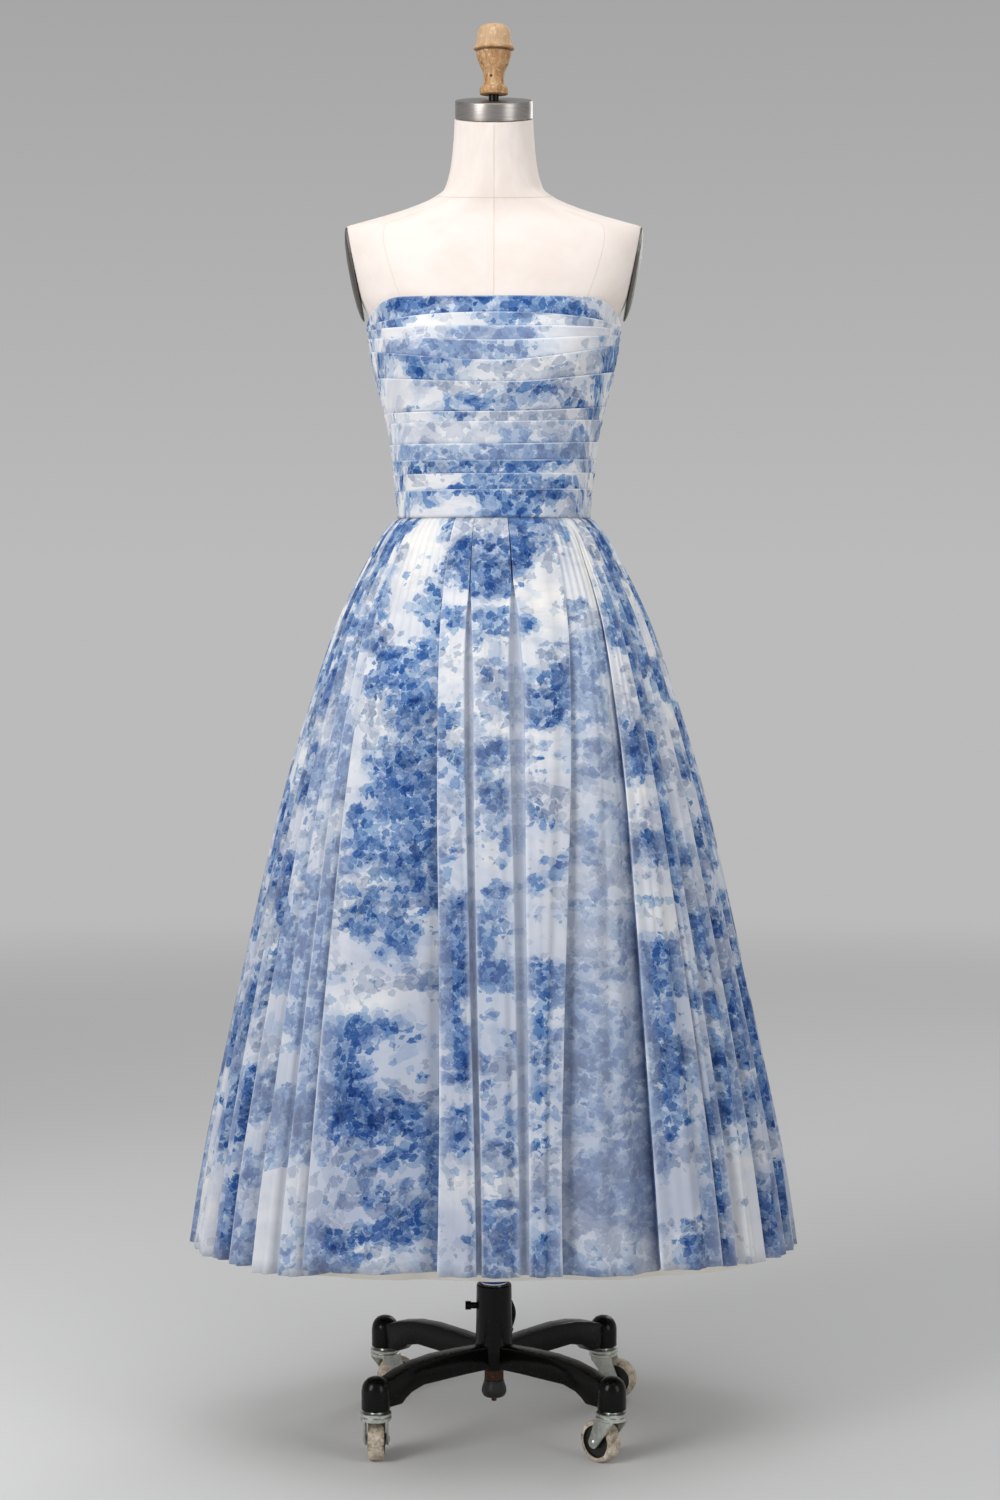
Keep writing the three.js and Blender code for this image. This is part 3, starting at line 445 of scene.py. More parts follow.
def printed_cloth(name, ground, cover, roughness=0.8):
    """Sheer cloth with a watercolour print of petals in drifts, over a faded second layer."""
    g = Graph(name)
    where = g.cloth()
    bent = g.shifted(where, g.wobble(where, 66.0, (0.010, 0.008, 0.0)))
    bent = g.shifted(bent, g.wobble(where, 230.0, (0.0045, 0.0045, 0.0)))
    wide = g.scaled(where, (6.4, 11.6, 1.0))
    drift = g.noise(wide, 1.0, 3.0, 0.5, 0.4)
    break_up = g.less(g.noise(g.scaled(where, (24.0, 42.0, 1.0)), 1.0, 2.0, 0.5), 0.5)
    bare = g.times(g.layer("bare"), 0.9)
    density = g.step(drift, 0.43 - cover, 0.66 - cover)
    density = g.add(density, g.times(break_up, 1.5))
    lower = g.step(g.layer("low"), 0.0, 0.5)
    density = g.add(density, g.times(lower, 0.10))
    density = g.math("MINIMUM", g.less(density, bare), 0.95)
    behind = g.noise(g.shifted(wide, (3.7, 1.9, 0.0)), 1.0, 3.0, 0.5, 0.3)
    faded = g.step(behind, 0.42 - cover, 0.68 - cover)
    faded = g.less(g.add(faded, g.times(break_up, -1.1)), bare)
    texture = g.step(g.noise(where, 190.0, 4.0, 0.7), 0.28, 0.72, 0.84, 1.14)

    # wet washes that spread past the petals, blue round the drifts and lilac between them
    spread = g.noise(wide, 1.0, 6.0, 0.62, 0.8)
    wash = g.less(g.step(spread, 0.36 - cover, 0.62 - cover), g.times(bare, 0.8), True)
    # painted shade: the ground greys towards the hem, where less light reaches
    ground = g.mix(g.layer("low"), ground, linear(196, 199, 210))
    glow = g.step(g.noise(g.shifted(wide, (11.3, 5.1, 0.0)), 0.8, 2.0), 0.46, 0.64, 0.0, 0.75)
    glow = g.math("MAXIMUM", glow, g.times(g.layer("bare"), 0.9))
    ground = g.mix(glow, ground, linear(250, 246, 239))
    colour = g.mix(g.times(wash, 0.34), ground, linear(160, 182, 213))
    stain = g.noise(g.shifted(wide, (7.1, 4.3, 0.0)), 1.3, 6.0, 0.6, 0.9)
    colour = g.mix(g.step(stain, 0.46, 0.68, 0.0, 0.36), colour, linear(172, 178, 198))
    colour = glaze(g, colour, bent, faded, texture, FADED)
    colour = glaze(g, colour, bent, density, texture, GLAZES)

    # net: a fine mesh; sheer folds paler; painted shade on the lower skirt, deep in the valleys and
    # laps and in the sunken gaps; and a painted highlight, partly the doubled cloth, that makes the
    # folds show whiter at their edges
    net = weave(g, where, NET_PITCH)
    holes = g.tint(colour, (0.84, 0.86, 0.90, 1.0))
    colour = g.mix(g.times(net, 0.9), holes, colour)
    colour = g.mix(g.times(g.layer("sheer"), 0.62), colour, linear(206, 212, 224))
    colour = g.mix(lower, colour, g.tint(colour, (0.87, 0.885, 0.91, 1.0)))
    shade = g.tint(colour, (0.46, 0.52, 0.64, 1.0))
    colour = g.mix(g.times(g.layer("deep"), 0.72), colour, shade)
    # painted shade: the sunken open gaps greyed to a smooth grey-blue
    colour = g.mix(g.times(g.layer("gap"), 0.70), colour, linear(186, 193, 208))
    glint = g.step(g.noise(where, 9.0, 2.0), 0.40, 0.62, 0.12, 0.60)
    # painted highlight along the fold edges, partly the whiter doubled cloth
    colour = g.mix(g.times(g.layer("edge"), glint), colour, linear(240, 244, 252))
    gleam = dict(Sheen_Weight=0.03, Sheen_Roughness=0.5, Specular_IOR_Level=0.08)
    return g.close(colour, roughness, normal=g.bump(net, 0.10, 0.0003), **gleam)


def plain_cloth(name, colour, shade, pitch, roughness, sheen):
    """Woven cloth of one colour, blotched and slubbed with a second, and darker at seams."""
    g = Graph(name)
    where = g.cloth()
    blot = g.noise(where, 14.0, 4.0, 0.6)
    slub = g.noise(g.scaled(where, (300.0, 40.0, 1.0)), 1.0, 2.0, 0.6)
    threads = weave(g, where, pitch)
    base = g.mix(g.step(blot, 0.35, 0.70), colour, shade)
    base = g.mix(g.times(slub, 0.10), base, shade)
    base = g.mix(g.times(g.layer("seam"), 0.55), base, linear(196, 178, 160))
    height = g.add(g.times(threads, 0.6), g.times(slub, 0.5))
    normal = g.bump(height, 0.18, 0.0004)
    return g.close(base, roughness, normal=normal, Sheen_Weight=sheen, Specular_IOR_Level=0.2)


# ---- skirt

WAIST_Z, HEM_Z, HEM_LIFT = 1144.0, 237.0, 18.0
SKIRT_Z = [1144, 1124, 1085, 1050, 1009, 925, 812, 665, 492, 337, 229]
skirt_half = curve_through(SKIRT_Z, [121, 138, 160, 178, 196, 224, 257, 292, 330, 360, 376])
skirt_depth = curve_through(SKIRT_Z, [90, 103, 120, 133, 147, 168, 190, 212, 232, 244, 250])

# Valleys between folds: azimuth at the waist and the hem, depth at the hem in millimetres,
# which side laps over (1 the fold on its +X side, -1 the other, 0 an open gap) and how wide.
VALLEYS = [
    (-96, -96, 18, 1, 1.0), (-84, -82, 16, 1, 1.0), (-77, -74, 18, 1, 1.0),
    (-71, -65.5, 22, 1, 1.1), (-65.5, -57.5, 20, 1, 1.0), (-60.5, -50, 24, 1, 1.1),
    (-56, -43, 18, 1, 0.9), (-51.5, -36.4, 34, 1, 1.2), (-22, -9.4, 28, 1, 0.9),
    (-11, -3, 34, 0, 0.75), (8, 5.6, 32, 0, 1.2), (32, 12, 20, -1, 1.0),
    (47, 33, 22, 1, 0.9), (53, 45.8, 26, -1, 1.1), (59, 50.5, 20, -1, 0.9),
    (66, 61, 24, -1, 1.1), (74, 72, 20, -1, 1.0), (83, 83, 18, -1, 1.0),
    (96, 96, 18, -1, 1.0), (106, 107, 26, 1, 1.1), (116, 115, 22, 0, 0.8),
    (128, 128, 32, -1, 1.2), (139, 136, 24, -1, 1.0), (150, 151, 34, 1, 1.2),
    (161, 160, 24, 0, 0.7), (173, 172, 20, 1, 1.0), (187, 188, 20, -1, 1.0),
    (199, 200, 34, 0, 0.9), (210, 209, 22, 1, 1.0), (222, 224, 32, 1, 1.2),
    (233, 232, 24, -1, 1.0), (244, 246, 30, 0, 0.8), (255, 254, 20, 1, 1.0),
]
FOLDS = len(VALLEYS)
# Folds that the light shows as sheer, by how much, and folds whose hems are paler.
SHEER_FOLDS = {0: 0.35, 4: 0.35, 5: 0.5, 6: 0.45, 9: 0.15, 11: 0.55, 17: 0.35, 21: 0.4, 28: 0.4}
PALE_HEM_FOLDS = [1, 2, 5, 6, 14, 22, 29]
# Each skirt panel, its CAD node and the fold down whose middle its first edge runs.
SKIRT_PANELS = [
    ("skirt_front_cloth", "skirt_front", 0),
    ("skirt_right_cloth", "skirt_back_right", 17),
    ("skirt_left_cloth", "skirt_back_left", 25),
]
SKIRT_ROWS, CREST_STEP = 72, 5.5
SKIRT_WALL = 0.5 * MM
LEAN_MOST, LEAN_SHARE = 17.0, 0.19
BULGE_MOST, BULGE_SHARE = 9.0, 0.12
UNDER_SHADE = 0.26
WAIST_RADIUS, CREASE_PITCH = 105, 7.5
# The least depth of a valley, which it has at the waist, and the least share of a flat
# rectangle that a sheet cut from it takes.
LEAST_DEPTH, LEAST_SHARE = 2.4, 0.3
# Half of an open gap's width in millimetres, down the skirt, and the sunken strip's depth.
GAP_DOWN = [(0, 0.6), (0.09, 1.2), (0.13, 4.5), (0.22, 8.5), (0.5, 6.2), (1, 4.8)]
GAP_DEPTH = 10.0

# Sections of a valley in units of its reach and depth, from one fold's crest to the next:
# (along, inset, edge light, depth shade, veil of doubled cloth).
LAPPED = [
    (-1.00, 0.00, 0, 0, 0.1), (-0.60, 0.06, 0, 0.05, 0.2), (-0.20, 0.22, 0, 0.4, 0.3),
    (0.15, 0.50, 0, 0.85, 0.3), (0.42, 0.86, 0, 1, 0.2), (0.52, 1.00, 0, 1, 0),
    (0.60, 0.76, 0, 1, 0), (0.46, 0.42, 0, 0.8, 0.2), (0.10, 0.18, 0, 0.4, 0.5),
    (-0.24, 0.06, 0.6, 0, 1), (-0.33, -0.01, 1, 0, 1), (-0.26, -0.06, 0.8, 0, 1),
    (-0.06, -0.08, 0.1, 0, 0.95), (0.34, -0.06, 0, 0, 0.8), (1.00, 0.00, 0, 0, 0.4),
]
OPEN_HALF = [
    (-1.00, 0.00, 0, 0, 0.3), (-0.72, -0.04, 0.1, 0, 0.8), (-0.54, 0.00, 0.5, 0, 1),
    (-0.48, 0.12, 0.6, 0.1, 1), (-0.50, 0.45, 0.1, 0.7, 0.5), (-0.50, 0.80, 0, 1, 0),
    (-0.34, 0.98, 0, 0.9, 0),
]
OPEN = OPEN_HALF + [(0.00, 1.00, 0, 0.8, 0)] + [(-x, *rest) for x, *rest in OPEN_HALF[::-1]]


def valley_section(lap):
    rows = OPEN if lap == 0 else LAPPED
    rows = np.array(rows, float)
    if lap < 0:
        rows = rows[::-1].copy()
        rows[:, 0] *= -1
    path = spline(rows[:, :2], 2)
    at = np.linspace(0, len(rows) - 1, len(path))
    marks = [np.interp(at, range(len(rows)), rows[:, k]) for k in (2, 3, 4)]
    return path, np.stack(marks, -1), int(np.argmax(path[:, 1]))


def arc_per_degree(azimuth, z):
    s, c = sin_cos(azimuth)
    return math.radians(1) * np.hypot(skirt_half(z) * c, skirt_depth(z) * s)


def hem_rise(azimuth):
    return HEM_LIFT * np.maximum(0, sin_cos(azimuth)[1]) ** 1.5


def skirt_columns():
    """One entry for each column of the skirt, once round from the valley at the left side."""
    columns = []
    for i, (_, hem, _, lap, _) in enumerate(VALLEYS):
        j = (i + 1) % FOLDS
        next_hem = VALLEYS[j][1] + (360 if i == FOLDS - 1 else 0)
        width = (next_hem - hem) * arc_per_degree((hem + next_hem) / 2, HEM_Z)
        path, marks, low = valley_section(lap)
        columns += [("right", i, i, *path[k], *marks[k]) for k in range(low + 1, len(path))]
        count = int(np.clip(width / CREST_STEP, 7, 26))
        count += 1 - count % 2
        columns += [("crest", i, i, (k + 1) / (count + 1), 0, 0, 0, 0) for k in range(count)]
        path, marks, low = valley_section(VALLEYS[j][3])
        columns += [("left", i, j, *path[k], *marks[k]) for k in range(low + 1)]
    return columns


def build_skirt():
    columns = skirt_columns()
    kind, fold, valley, *rest = (np.array(column) for column in zip(*columns))
    along, inset0, edge, deep, veil = (column.astype(float) for column in rest)
    waist, hem, depth, lap, gap = np.array(VALLEYS, float).T
    depth = np.where(lap == 0, GAP_DEPTH, depth)
    crest = kind == "crest"
    t = np.where(crest, along, np.where(kind == "left", 1.0, 0.0))
    goes_under = t**2 * (np.roll(lap, -1)[fold] == 1) + (1 - t) ** 2 * (lap[fold] == -1)
    goes_under = goes_under * (1 - np.clip(inset0, 0, 1))
    swell = np.where(crest, 4 * t * (1 - t), 0.0)
    shares = np.linspace(0, 1, SKIRT_ROWS) ** 1.3
    count = len(columns)
    points = np.zeros((SKIRT_ROWS, count, 3))
    arcs = np.zeros((SKIRT_ROWS, count))
    pleat_shade = np.zeros((SKIRT_ROWS, count))
    rng = np.random.default_rng(7)
    phase = rng.uniform(0, 2 * math.pi, (FOLDS, 8))
    waist_width = np.radians((np.roll(waist, -1) - waist) % 360) * WAIST_RADIUS
    creases = np.clip(np.round(waist_width / CREASE_PITCH), 2, 7)
    crease_at = rng.uniform(0.3, 0.7, FOLDS)
    hem_drop = rng.uniform(-3, 3, FOLDS)
    hem_drop[5:7] = -8
    sway = rng.uniform(-0.5, 0.5, FOLDS)
    for r, share in enumerate(shares):
        z_flat = lerp(WAIST_Z, HEM_Z, share)
        at = hem + (waist - hem) * (1 - share) ** 2
        at = at + sway * np.sin(share * 5.0 + phase[:, 0]) * share
        nxt = np.roll(at, -1)
        nxt[-1] += 360
        scale = arc_per_degree((at + nxt) / 2, z_flat)
        open_reach = np.interp(share, *zip(*GAP_DOWN)) / 0.5
        reach = np.where(lap == 0, open_reach, lerp(2.6, 17.0, share**0.75)) * gap
        grown = np.where(lap == 0, min(1, share / 0.2), share) ** 0.8
        deepness = LEAST_DEPTH + (depth - LEAST_DEPTH) * grown
        fold_width = ((nxt - at) * scale)[fold]
        left_gap = np.minimum(reach[fold], 0.32 * fold_width)
        right_gap = np.minimum(reach[(fold + 1) % FOLDS], 0.32 * fold_width)
        own = np.where(kind == "right", left_gap, right_gap)
        start = at[fold] + left_gap / scale[fold]
        end = nxt[fold] - right_gap / scale[fold]
        beside = np.where(kind == "right", at[fold], nxt[fold]) + along * own / scale[fold]
        azimuth = np.where(crest, start + (end - start) * along, beside)
        inset = inset0 * deepness[valley]
        # each fold swells forward and leans back where the next one laps over it
        inset = inset - np.minimum(BULGE_SHARE * fold_width, BULGE_MOST) * share**0.6 * swell
        inset = inset + np.minimum(LEAN_SHARE * fold_width, LEAN_MOST) * share**0.6 * goes_under
        # fine gathers run down from the waist, and long soft waves and a crease go on to the hem
        stray = 0.8 * np.sin(share * 9 + phase[fold, 6])
        fine = np.sin(2 * math.pi * creases[fold] * t + phase[fold, 1] + stray)
        fade = bell(share, 0, 0.26) + 0.10
        pleats = np.where(crest, fine * (t * (1 - t)) ** 0.3, 0)
        inset = inset + 1.3 * fade * pleats
        pleat_shade[r] = np.clip(pleats, 0, 1) * 0.5 * fade
        gather = np.sin(azimuth * 1.9 + phase[fold, 2]) + np.sin(azimuth * 3.1 + phase[fold, 3])
        inset = inset + 0.55 * gather * math.exp(-share / 0.05) * (deep < 0.2)
        wide = np.clip(fold_width / 60, 0, 1.6)
        slow = np.sin(2 * math.pi * (0.8 + wide) * t + phase[fold, 7] + 1.5 * share)
        inset = inset + 1.5 * wide * share**0.7 * slow * swell
        crease = bell((t - crease_at[fold]) * fold_width, 0, 3.5) * (wide > 0.8)
        inset = inset + np.where(crest, 1.5 * crease * share**0.5, 0)
        z = lerp(WAIST_Z - 0.15, HEM_Z + hem_rise(azimuth) + hem_drop[fold], share)
        blown = 2.2 * share * np.sin(z / 90.0 + phase[fold, 4]) * np.sin(phase[fold, 5] + t * 3)
        inset = inset + blown * swell
        s, c = sin_cos(azimuth)
        x, y = (skirt_half(z_flat) - inset) * s, -(skirt_depth(z_flat) - inset) * c
        points[r] = np.stack([x, y, z], -1)
        if r == 0:
            # the waist seam: the skirt's top edge lies just under the bodice's
            points[r, :, :2] = torso_points(azimuth, WAIST_Z, 4.0)[:, :2]
        step = np.hypot(np.diff(x, append=x[0]), np.diff(y, append=y[0]))
        arcs[r] = np.concatenate([[0], np.cumsum(step)[:-1]])

    # cloth coordinates: along from each fold's middle, down from the waist
    middles = [np.flatnonzero((fold == i) & crest) for i in range(FOLDS)]
    middle_column = np.array([m[(len(m) - 1) // 2] for m in middles])
    home = arcs[-1][middle_column]
    u = home[fold] + arcs - arcs[:, middle_column][:, fold]
    heights = lerp(WAIST_Z, HEM_Z, shares)
    drop = np.cumsum(np.hypot(np.diff(skirt_depth(heights)), np.diff(heights)))
    v = np.concatenate([[0], drop])[:, None] * np.ones((1, count))
    uv = np.stack([u, -v], -1) * MM
    length = v.max()

    fading = shares[:, None] ** 0.5
    sheer_of = np.array([SHEER_FOLDS.get(i, 0.0) for i in range(FOLDS)])
    hem_band = smooth(v, length - 26, length - 4) * 0.4
    under = UNDER_SHADE * (goes_under * np.maximum(t, 1 - t) ** 2)
    front = np.radians(signed(azimuth))
    patches = (bell(front, -0.42, 0.17) + bell(front, 0.58, 0.15)) * (1 - smooth(v, 60, 190))
    sunken = deep * (lap[valley] == 0) * ~crest
    shaded = np.maximum((deep - sunken), under) * fading
    veiled = np.maximum(sheer_of[fold] * smooth(v, 60, 260), hem_band)
    pale = np.isin(fold, PALE_HEM_FOLDS) * 0.7 * smooth(v, length - 200, length - 70)
    # painted shade: deep darkens the valleys, the laps and the gathers, gap greys the sunken open
    # gaps and low darkens the lower skirt as well as thickening its print; edge is a painted
    # highlight along the folds' edges, partly the doubled cloth
    layers = {
        "edge": edge * np.minimum(1, 0.35 + fading),
        "deep": np.maximum(shaded, pleat_shade),
        "gap": sunken * smooth(shares, 0.06, 0.16)[:, None],
        "sheer": np.maximum(veiled, 0.55 * veil * fading),
        "bare": np.maximum(patches, pale),
        "low": smooth(shares[:, None], 0.0, 1.0),
    }
    layers = {key: np.broadcast_to(value, (SKIRT_ROWS, count)) for key, value in layers.items()}

    cloth = printed_cloth("printed_tulle", CREAM, 0.05)
    edges = [middle_column[first] for _, _, first in SKIRT_PANELS]
    for (name, cad, _), a, b in zip(SKIRT_PANELS, edges, edges[1:] + edges[:1]):
        take = np.arange(a, (b if b > a else b + count) + 1)
        uv_part = uv[:, take % count].copy()
        uv_part[:, take >= count, 0] += arcs[-1][-1] * MM
        part = {key: value[:, take % count] for key, value in layers.items()}
        mesh = grid_mesh(name, points[:, take % count] * MM, uv_part, part)
        piece = cloth_piece(name, mesh, cloth, cad, SKIRT_WALL)
        spans = steps_along(points[:, take % count]).sum(1) * MM
        wide, tall = spans.max(), length * MM
        area = float(np.sum((spans[1:] + spans[:-1]) / 2 * np.diff(v[:, 0]))) * MM
        area = max(LEAST_SHARE, min(1.0, area / (wide * tall))) * wide * tall


# ---- lining

LINING_WAVES = 14
LINING_TOP, LINING_HEM, LINING_TALL = 1107.0, 221.0, 0.9


def build_lining():
    white, shade = linear(252, 248, 240), linear(246, 240, 228)
    cloth = plain_cloth("ivory_lining", white, shade, 0.0006, 0.55, 0.15)
    shares = np.linspace(0, 1, 40)[:, None] ** 1.2
    for side, centre in (("front", 0), ("back", 180)):
        azimuth = np.linspace(centre - 89.94, centre + 89.94, LINING_WAVES * 9 + 1)
        hem = LINING_HEM + hem_rise(azimuth)
        z = lerp(LINING_TOP, hem, shares)
        down = np.clip((WAIST_Z - z) / (WAIST_Z - HEM_Z), 0, 1)
        behind = lerp(2.4, 34.0, down**0.8) + lerp(3.5, 6.0, np.minimum(1, 8 * shares))
        wave = 8 * shares * (1 - np.cos(np.radians(azimuth * LINING_WAVES))) / 2
        wave = wave + 1.2 * shares * np.sin(np.radians(azimuth * 37) + 5 * shares)
        inset = behind + wave + 0.8
        s, c = sin_cos(azimuth * np.ones_like(z))
        across, deep = (skirt_half(z) - inset) * s, -(skirt_depth(z) - inset) * c
        points = np.stack([across, deep, z], -1) * MM
        steps = steps_along(points)
        uv = np.stack([run_along(steps), z * MM], -1)
        stitched = 1 - smooth(np.abs(z - hem - 12), 0.0, 1.2)
        mesh = grid_mesh(f"lining_{side}_cloth", points, uv, {"seam": stitched * 0.5})
        cad = f"lining_{side}"
        piece = cloth_piece(mesh.name, mesh, cloth, cad, SKIRT_WALL)


# ---- dress form

# Sections of the torso in millimetres: height, half width, front and back depth, power of
# the superellipse and backward tilt in degrees.
RINGS = [
    (820, 156, 98, 116, 2.2, 0), (880, 168, 103, 123, 2.2, 0), (940, 171, 104, 125, 2.2, 0),
    (1010, 158, 98, 112, 2.1, 0), (1080, 132, 89, 93, 2, 0), (1144, 115, 82.5, 80.5, 2, 0),
    (1200, 119.5, 88, 84, 2.1, 0), (1250, 126, 94, 87, 2.2, 0), (1300, 138, 101, 91, 2.2, 0),
    (1322, 143.5, 104, 93.5, 2.2, 0), (1345, 148, 105, 95, 2.2, 0), (1365, 150.5, 104, 96, 2.2, 0),
    (1385, 152.5, 101, 97, 2.3, 0), (1420, 168, 92, 98, 2.4, 0), (1460, 181, 80, 95, 2.4, 0),
    (1490, 187, 66, 85, 2.3, 0), (1503, 184, 57, 73, 2.2, 0), (1511, 160, 50, 64, 2.1, 0),
    (1519, 132, 46, 58, 2, 0), (1529, 101, 45, 55, 2, 0), (1540, 76, 46, 53, 2, 1),
    (1552, 61, 47, 51, 2, 3), (1582, 53, 47, 50, 2, 8), (1611, 50, 48, 49, 2, 12),
    (1637.5, 48.5, 48.5, 48.5, 2, 13.6),
]
RING_Z, *ring_sizes = zip(*RINGS)
torso_curves = [curve_through(RING_Z, sizes) for sizes in ring_sizes]
# Runs of rows up the cover: from, to and how many.
COVER_ROWS = [(820, 1480, 74), (1486, 1560, 38), (1564, 1637.4, 18)]
ARM_TOP, ARM_LOW = (182.0, 1506.0), (160.0, 1388.0)


def torso_points(azimuth, z, out=0.0):
    """Points this far outside the torso at these azimuths and heights."""
    azimuth, z = np.broadcast_arrays(np.asarray(azimuth, float), np.asarray(z, float))
    half, front, back, power, tilt = (curve(z) for curve in torso_curves)
    s, c = sin_cos(azimuth)
    bend = 2 / power
    x = (half + out) * np.sign(s) * np.abs(s) ** bend
    depth = np.where(c > 0, front, back) + out
    bust = 15 * bell(np.abs(signed(azimuth)), 33, 22) * bell(z, 1342, 42)
    y = -depth * np.sign(c) * np.abs(c) ** bend - bust
    return np.stack([x, y, z + y * np.tan(np.radians(tilt))], -1)


def cut_arms(points):
    """Flattens what lies outside the two arm planes onto them."""
    x, z = points[..., 0], points[..., 2]
    plane = ARM_LOW[0] + (z - ARM_LOW[1]) * (ARM_TOP[0] - ARM_LOW[0]) / (ARM_TOP[1] - ARM_LOW[1])
    limit = np.where(z > ARM_LOW[1] - 12, plane - 0.2, 1e6)
    points[..., 0] = np.clip(x, -limit, limit)
    return points


def build_torso():
    pale, shade = linear(241, 231, 225), linear(233, 221, 213)
    linen = plain_cloth("cream_linen", pale, shade, 0.0007, 0.92, 0.08)
    z = np.concatenate([np.linspace(*run) for run in COVER_ROWS])
    azimuth = np.linspace(0, 360, 181)[:-1]
    points = cut_arms(torso_points(azimuth, z[:, None]))
    u = np.broadcast_to(azimuth / 360 * 0.9, points.shape[:2])
    uv = np.stack([u, points[..., 2] * MM], -1)
    seam = np.zeros(points.shape[:2])
    mesh = grid_mesh("torso_cover", points * MM, uv, {"seam": seam}, wrap=True)
    bm = bmesh.new()
    bm.from_mesh(mesh)
    rims = [e for e in bm.edges if e.is_boundary]
    bmesh.ops.edgeloop_fill(bm, edges=rims)
    bmesh.ops.recalc_face_normals(bm, faces=bm.faces)
    bm.to_mesh(mesh)
    bm.free()
    mesh.set_sharp_from_angle(angle=math.radians(50))
    piece = new_object("torso_cover", mesh, linen, "form")
    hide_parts("torso")


def surface_line(name, azimuths, heights, material, radius, out):
    """A fine stitched ridge that lies on the torso through these azimuths and heights."""
    place = cut_arms(torso_points(azimuths, heights, out)) * MM
    curve = bpy.data.curves.new(name, "CURVE")
    curve.dimensions = "3D"
    curve.bevel_depth, curve.bevel_resolution = radius * MM, 2
    curve.use_fill_caps = True
    line = curve.splines.new("POLY")
    line.points.add(len(place) - 1)
    for point, where in zip(line.points, place):
        point.co = (*where, 1)
    new_object(name, curve, material, "form")


def build_seams():
    pale, shade = linear(226, 210, 194), linear(214, 196, 178)
    tape = plain_cloth("seam_tape", pale, shade, 0.0007, 0.95, 0.0)
    for end, azimuth, low in (("front", 0.0, 1375), ("back", 180.0, 1340)):
        z = np.linspace(low, 1634, 60)
        surface_line(f"seam_centre_{end}", np.full(60, azimuth), z, tape, 0.3, 0.1)
    for side, tag in ((-1, "left"), (1, "right")):
        z = np.linspace(1375, 1522, 40)
        for end, low, high in (("front", 38, 45), ("back", 146, 140)):
            azimuth = side * np.linspace(low, high, 40)
            surface_line(f"seam_{end}_{tag}", azimuth, z, tape, 0.22, 0.08)
    ring = np.linspace(0, 360, 121)
    surface_line("seam_neck", ring, 1543 - 7 * sin_cos(ring)[1], tape, 0.4, 0.15)


# ---- bodice

# Heights of the neckline and the tucks at the front, left, right and back, and for the
# neckline the azimuth where it starts to fall.
NECKLINE = (1411.0, 1383.0, 1383.0, 1371.0, 36.0)
TUCKS = [
    (1391, 1379.3, 1379.6, 1363), (1374, 1374.2, 1375.8, 1350), (1357, 1364, 1369, 1337),
    (1333, 1349, 1358, 1322), (1307, 1316, 1324, 1301), (1272, 1272, 1281, 1271),
    (1260, 1259, 1265, 1256), (1233, 1234, 1238, 1232), (1213.5, 1214, 1216, 1212),
    (1197.5, 1197, 1200, 1196), (1178.5, 1176, 1180, 1177),
]
BAND_SHEER = [0.0, 0.15, 0.42, 0.35, 0.0, 0.0, 0.1, 0.32, 0.35, 0.0, 0.0, 0.0]
# Section of a tuck's lip in millimetres: rise over the tuck's line, relief and edge light.
LIP = [
    (-1.6, 0.35, 0), (-0.9, 0.75, 0), (-0.1, 1.1, 0.3), (0.35, 1.6, 0.9), (0.2, 2.2, 1),
    (-0.5, 2.65, 0.6), (-1.6, 2.8, 0),
]
BAND_ROWS, FOLDED_UNDER = 8, 19.0
# Each panel, its CAD node, its azimuths, its columns and the column its print starts from.
BODICE_PANELS = [
    ("bodice_front_cloth", "bodice_front", -90, 90, 241, 120),
    ("bodice_right_cloth", "bodice_back_right", 90, 180, 121, 120),
    ("bodice_left_cloth", "bodice_back_left", 180, 270, 121, 0),
]


def around(azimuth, front, left, right, back, turn=0.0):
    fold = signed(azimuth)
    side = np.where(fold < 0, left, right)
    away = np.abs(fold)
    ahead = lerp(front, side, smooth(away, turn, 90))
    behind = lerp(side, back, smooth(away, 90, 180))
    return np.where(away <= 90, ahead, behind)


def bodice_rows(edges, count):
    """Height, relief, edge light and length of cloth down to each row, and each row's band."""
    columns, bands = ([], [], [], []), []
    run = 0.0
    for b, top in enumerate(edges):
        last = b + 1 == len(edges)
        bottom = np.full(count, WAIST_Z + 0.3) if last else edges[b + 1]
        end = bottom - (0 if last else 2.4)
        rows = [(top + up, out, light, run - up) for up, out, light in (LIP if b else LIP[3:])]
        for k in range(1, BAND_ROWS + 1):
            t = k / BAND_ROWS
            length = run + 1.6 + (top - 1.6 - end) * t
            rows.append((lerp(top - 1.6, end, t), lerp(2.8, 0.35, t**0.8), 0.0, length))
        for row in rows:
            bands.append(b)
            for column, value in zip(columns, row):
                column.append(np.broadcast_to(value, count))
        run += float(np.mean(top - bottom)) + FOLDED_UNDER
    return (*(np.array(column, float) for column in columns), np.array(bands))


